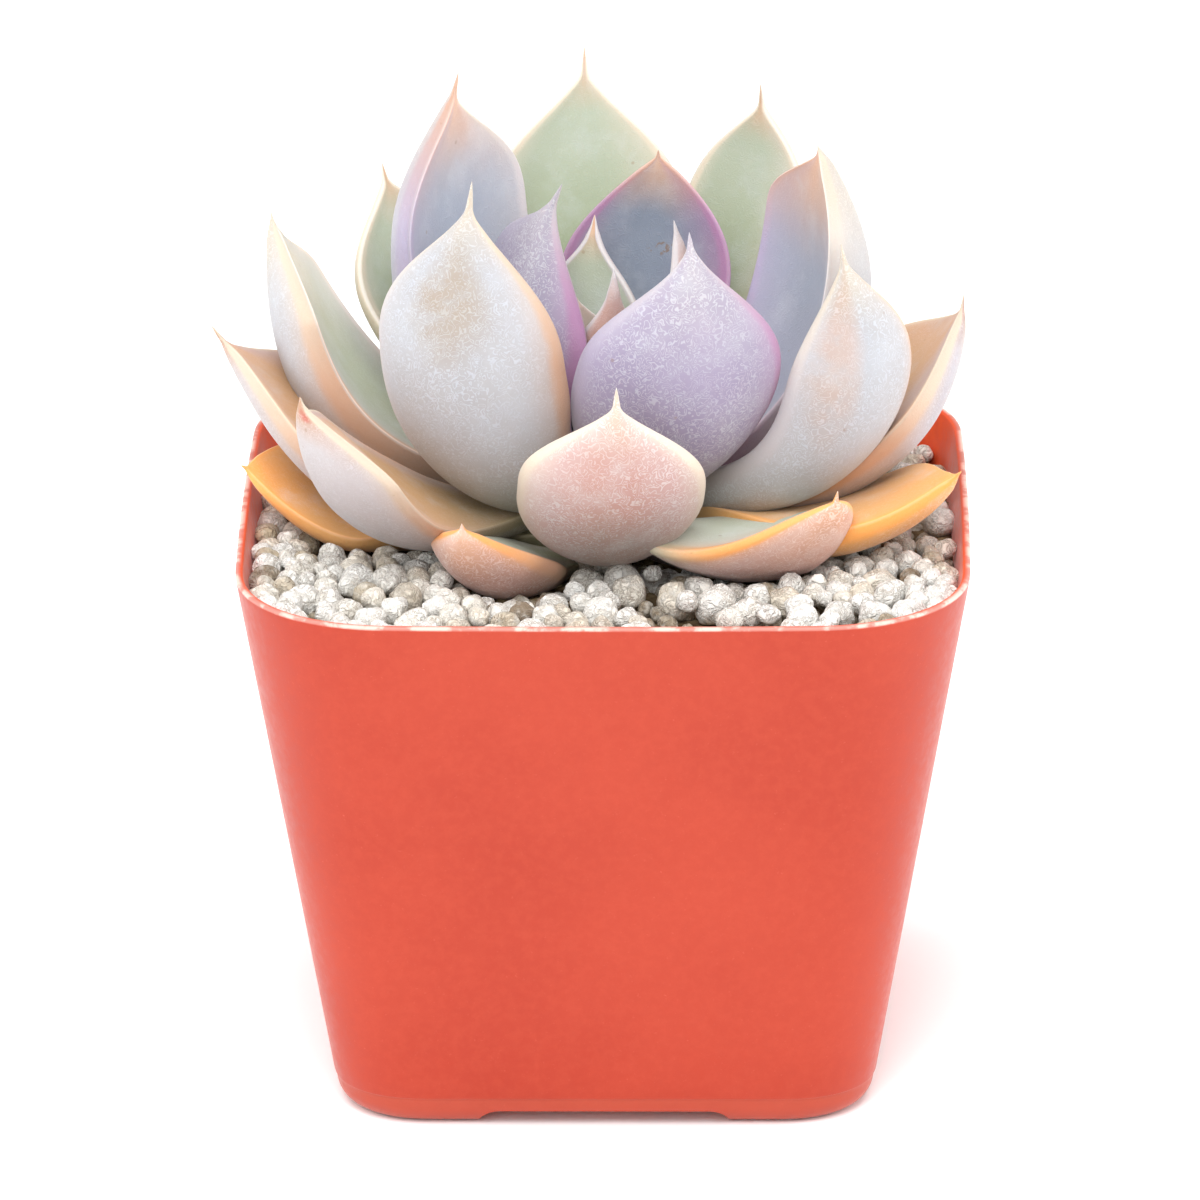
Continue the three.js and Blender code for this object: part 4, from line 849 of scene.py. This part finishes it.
# ------------------------------------------------------------------ build
leaf_objects = {}
for i, (name, P) in enumerate(LEAVES.items()):
    ob = orient(leaf_mesh(name + "_skin", P, 100 + 7 * i))
    group = name.split("_")[1]
    look = LOOK.get(name) or REAR["centre" if group in ("centre", "heart") else "mid" if group in ("mid", "inner") else "low"]
    ob.data.materials.append(leaf_material(name, look, i))
    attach(ob, "root")
    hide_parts(name)
    leaf_objects[name] = ob

bmw = bmesh.new()
for ob in leaf_objects.values():
    bmw.from_mesh(ob.data)
tree = BVHTree.FromBMesh(bmw)
bmw.free()

pot = build_pot()
sharp_by_angle(pot, 32)
pot.data.materials.append(pot_material())
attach(pot, "root")
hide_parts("pot")

top = stones(415, 0.95, 2.1, 0.0, 5, PEBBLES)
under = stones(640, 0.8, 1.5, 2.1, 9)
# painted shade and dirt: the stones of the lower layer take a dark brown tone, so the gaps between the top stones read
# dark
under[:, 4] = 0.965
mat = stone_material()
front = top[top[:, 1] < -4]
back = top[top[:, 1] >= -4]
pieces = []
for nm, rows, sub, sd in (("pumice_stones_front", front, 3, 21), ("pumice_stones_back", back, 3, 22), ("pumice_stones_under", under, 2, 23)):
    ob = stone_mesh(nm, rows, sub, sd, tree)
    ob.data.materials.append(mat)
    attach(ob, "root")
    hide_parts("pumice_top_dressing")
    pieces.append(ob)
bed = build_bed()
bed.data.materials.append(bed_shade_and_dirt_material())
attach(bed, "root")

for node, m in (("potting_soil", soil_material()), ("stem_and_roots", stem_material())):
    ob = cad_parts[node]
    ob.data.materials.clear()
    ob.data.materials.append(m)

# ------------------------------------------------------------------ stage, light, camera
def plain(name, colour, rough):
    n = Nodes(name)
    col = n.mix(n.step(n.noise(6, 2, 0.5), 0.3, 0.7), colour, "#ffffff")
    return n.done(col, rough, None, Specular_IOR_Level=0.1)


floor = new_mesh("floor", [(-3, -3, 0), (3, -3, 0), (3, 3, 0), (-3, 3, 0)], [(0, 1, 2, 3)], smooth=False)
floor.data.materials.append(plain("floor_paper", "#fdfdfd", 0.9))

scene = bpy.context.scene
world = bpy.data.worlds.new("studio")
scene.world = world
world.use_nodes = True
world.node_tree.nodes["Background"].inputs["Color"].default_value = (1.0, 1.0, 1.0, 1.0)
world.node_tree.nodes["Background"].inputs["Strength"].default_value = 0.62


def area(name, loc, target, size, power, colour=(1, 1, 1)):
    li = bpy.data.lights.new(name, "AREA")
    li.shape, li.size, li.energy, li.color = "DISK", size, power, colour
    ob = bpy.data.objects.new(name, li)
    ob.location = loc
    ob.rotation_euler = (Vector(target) - Vector(loc)).to_track_quat("-Z", "Y").to_euler()
    scene.collection.objects.link(ob)


area("key", (-0.20, -0.95, 0.52), (0, 0, 0.06), 0.60, 3.3, (0.95, 0.985, 1.0))
area("front_top", (0.0, -0.62, 0.80), (0, 0, 0.05), 0.50, 3.8, (0.97, 0.99, 1.0))
area("side_left", (-0.75, 0.10, 0.22), (0, 0, 0.05), 0.5, 2.2, (1.0, 1.0, 1.0))
area("side_right", (0.75, 0.10, 0.22), (0, 0, 0.05), 0.5, 3.3, (1.0, 1.0, 1.0))
sky = bpy.data.lights.new("overhead", "SUN")
sky.energy, sky.angle = 1.90, math.radians(75)
sky_ob = bpy.data.objects.new("overhead", sky)
sky_ob.rotation_euler = Vector((0.1, 0.25, -1)).to_track_quat("-Z", "Y").to_euler()
scene.collection.objects.link(sky_ob)

# camera: fitted to the pot's outline
E, D, FPX, TX, TY, YA, RO = math.radians(20.018), 999.46, 10187.3, 605.19, 500.14, -0.0136, -0.0044
turn = Matrix.Rotation(-YA, 3, "Z")
rim = Vector((OFF_X, 0, POT_H))
view = Vector((0, math.cos(E), -math.sin(E)))
X0, Z0 = Vector((1, 0, 0)), -view
Y0 = Z0.cross(X0)
c, s_ = math.cos(RO), math.sin(RO)
X1, Y1 = c * X0 + s_ * Y0, -s_ * X0 + c * Y0
ray = (view * FPX + X1 * (600 - TX) - Y1 * (600 - TY)).normalized()
Zc = -ray
Xc = (X1 - Zc * X1.dot(Zc)).normalized()
Yc = Zc.cross(Xc)
rot = Matrix((turn @ Xc, turn @ Yc, turn @ Zc)).transposed()
pos = (rim + turn @ (-view * D)) * MM
cam = bpy.data.cameras.new("camera")
cam.sensor_width, cam.sensor_fit = 36.0, "HORIZONTAL"
cam.lens = FPX / 1200 * 36.0
cam.clip_start, cam.clip_end = 0.05, 20
cam_ob = bpy.data.objects.new("camera", cam)
cam_ob.matrix_world = Matrix.Translation(pos) @ rot.to_4x4()
scene.collection.objects.link(cam_ob)
scene.camera = cam_ob
scene.view_settings.view_transform = "Standard"
scene.view_settings.look = "None"
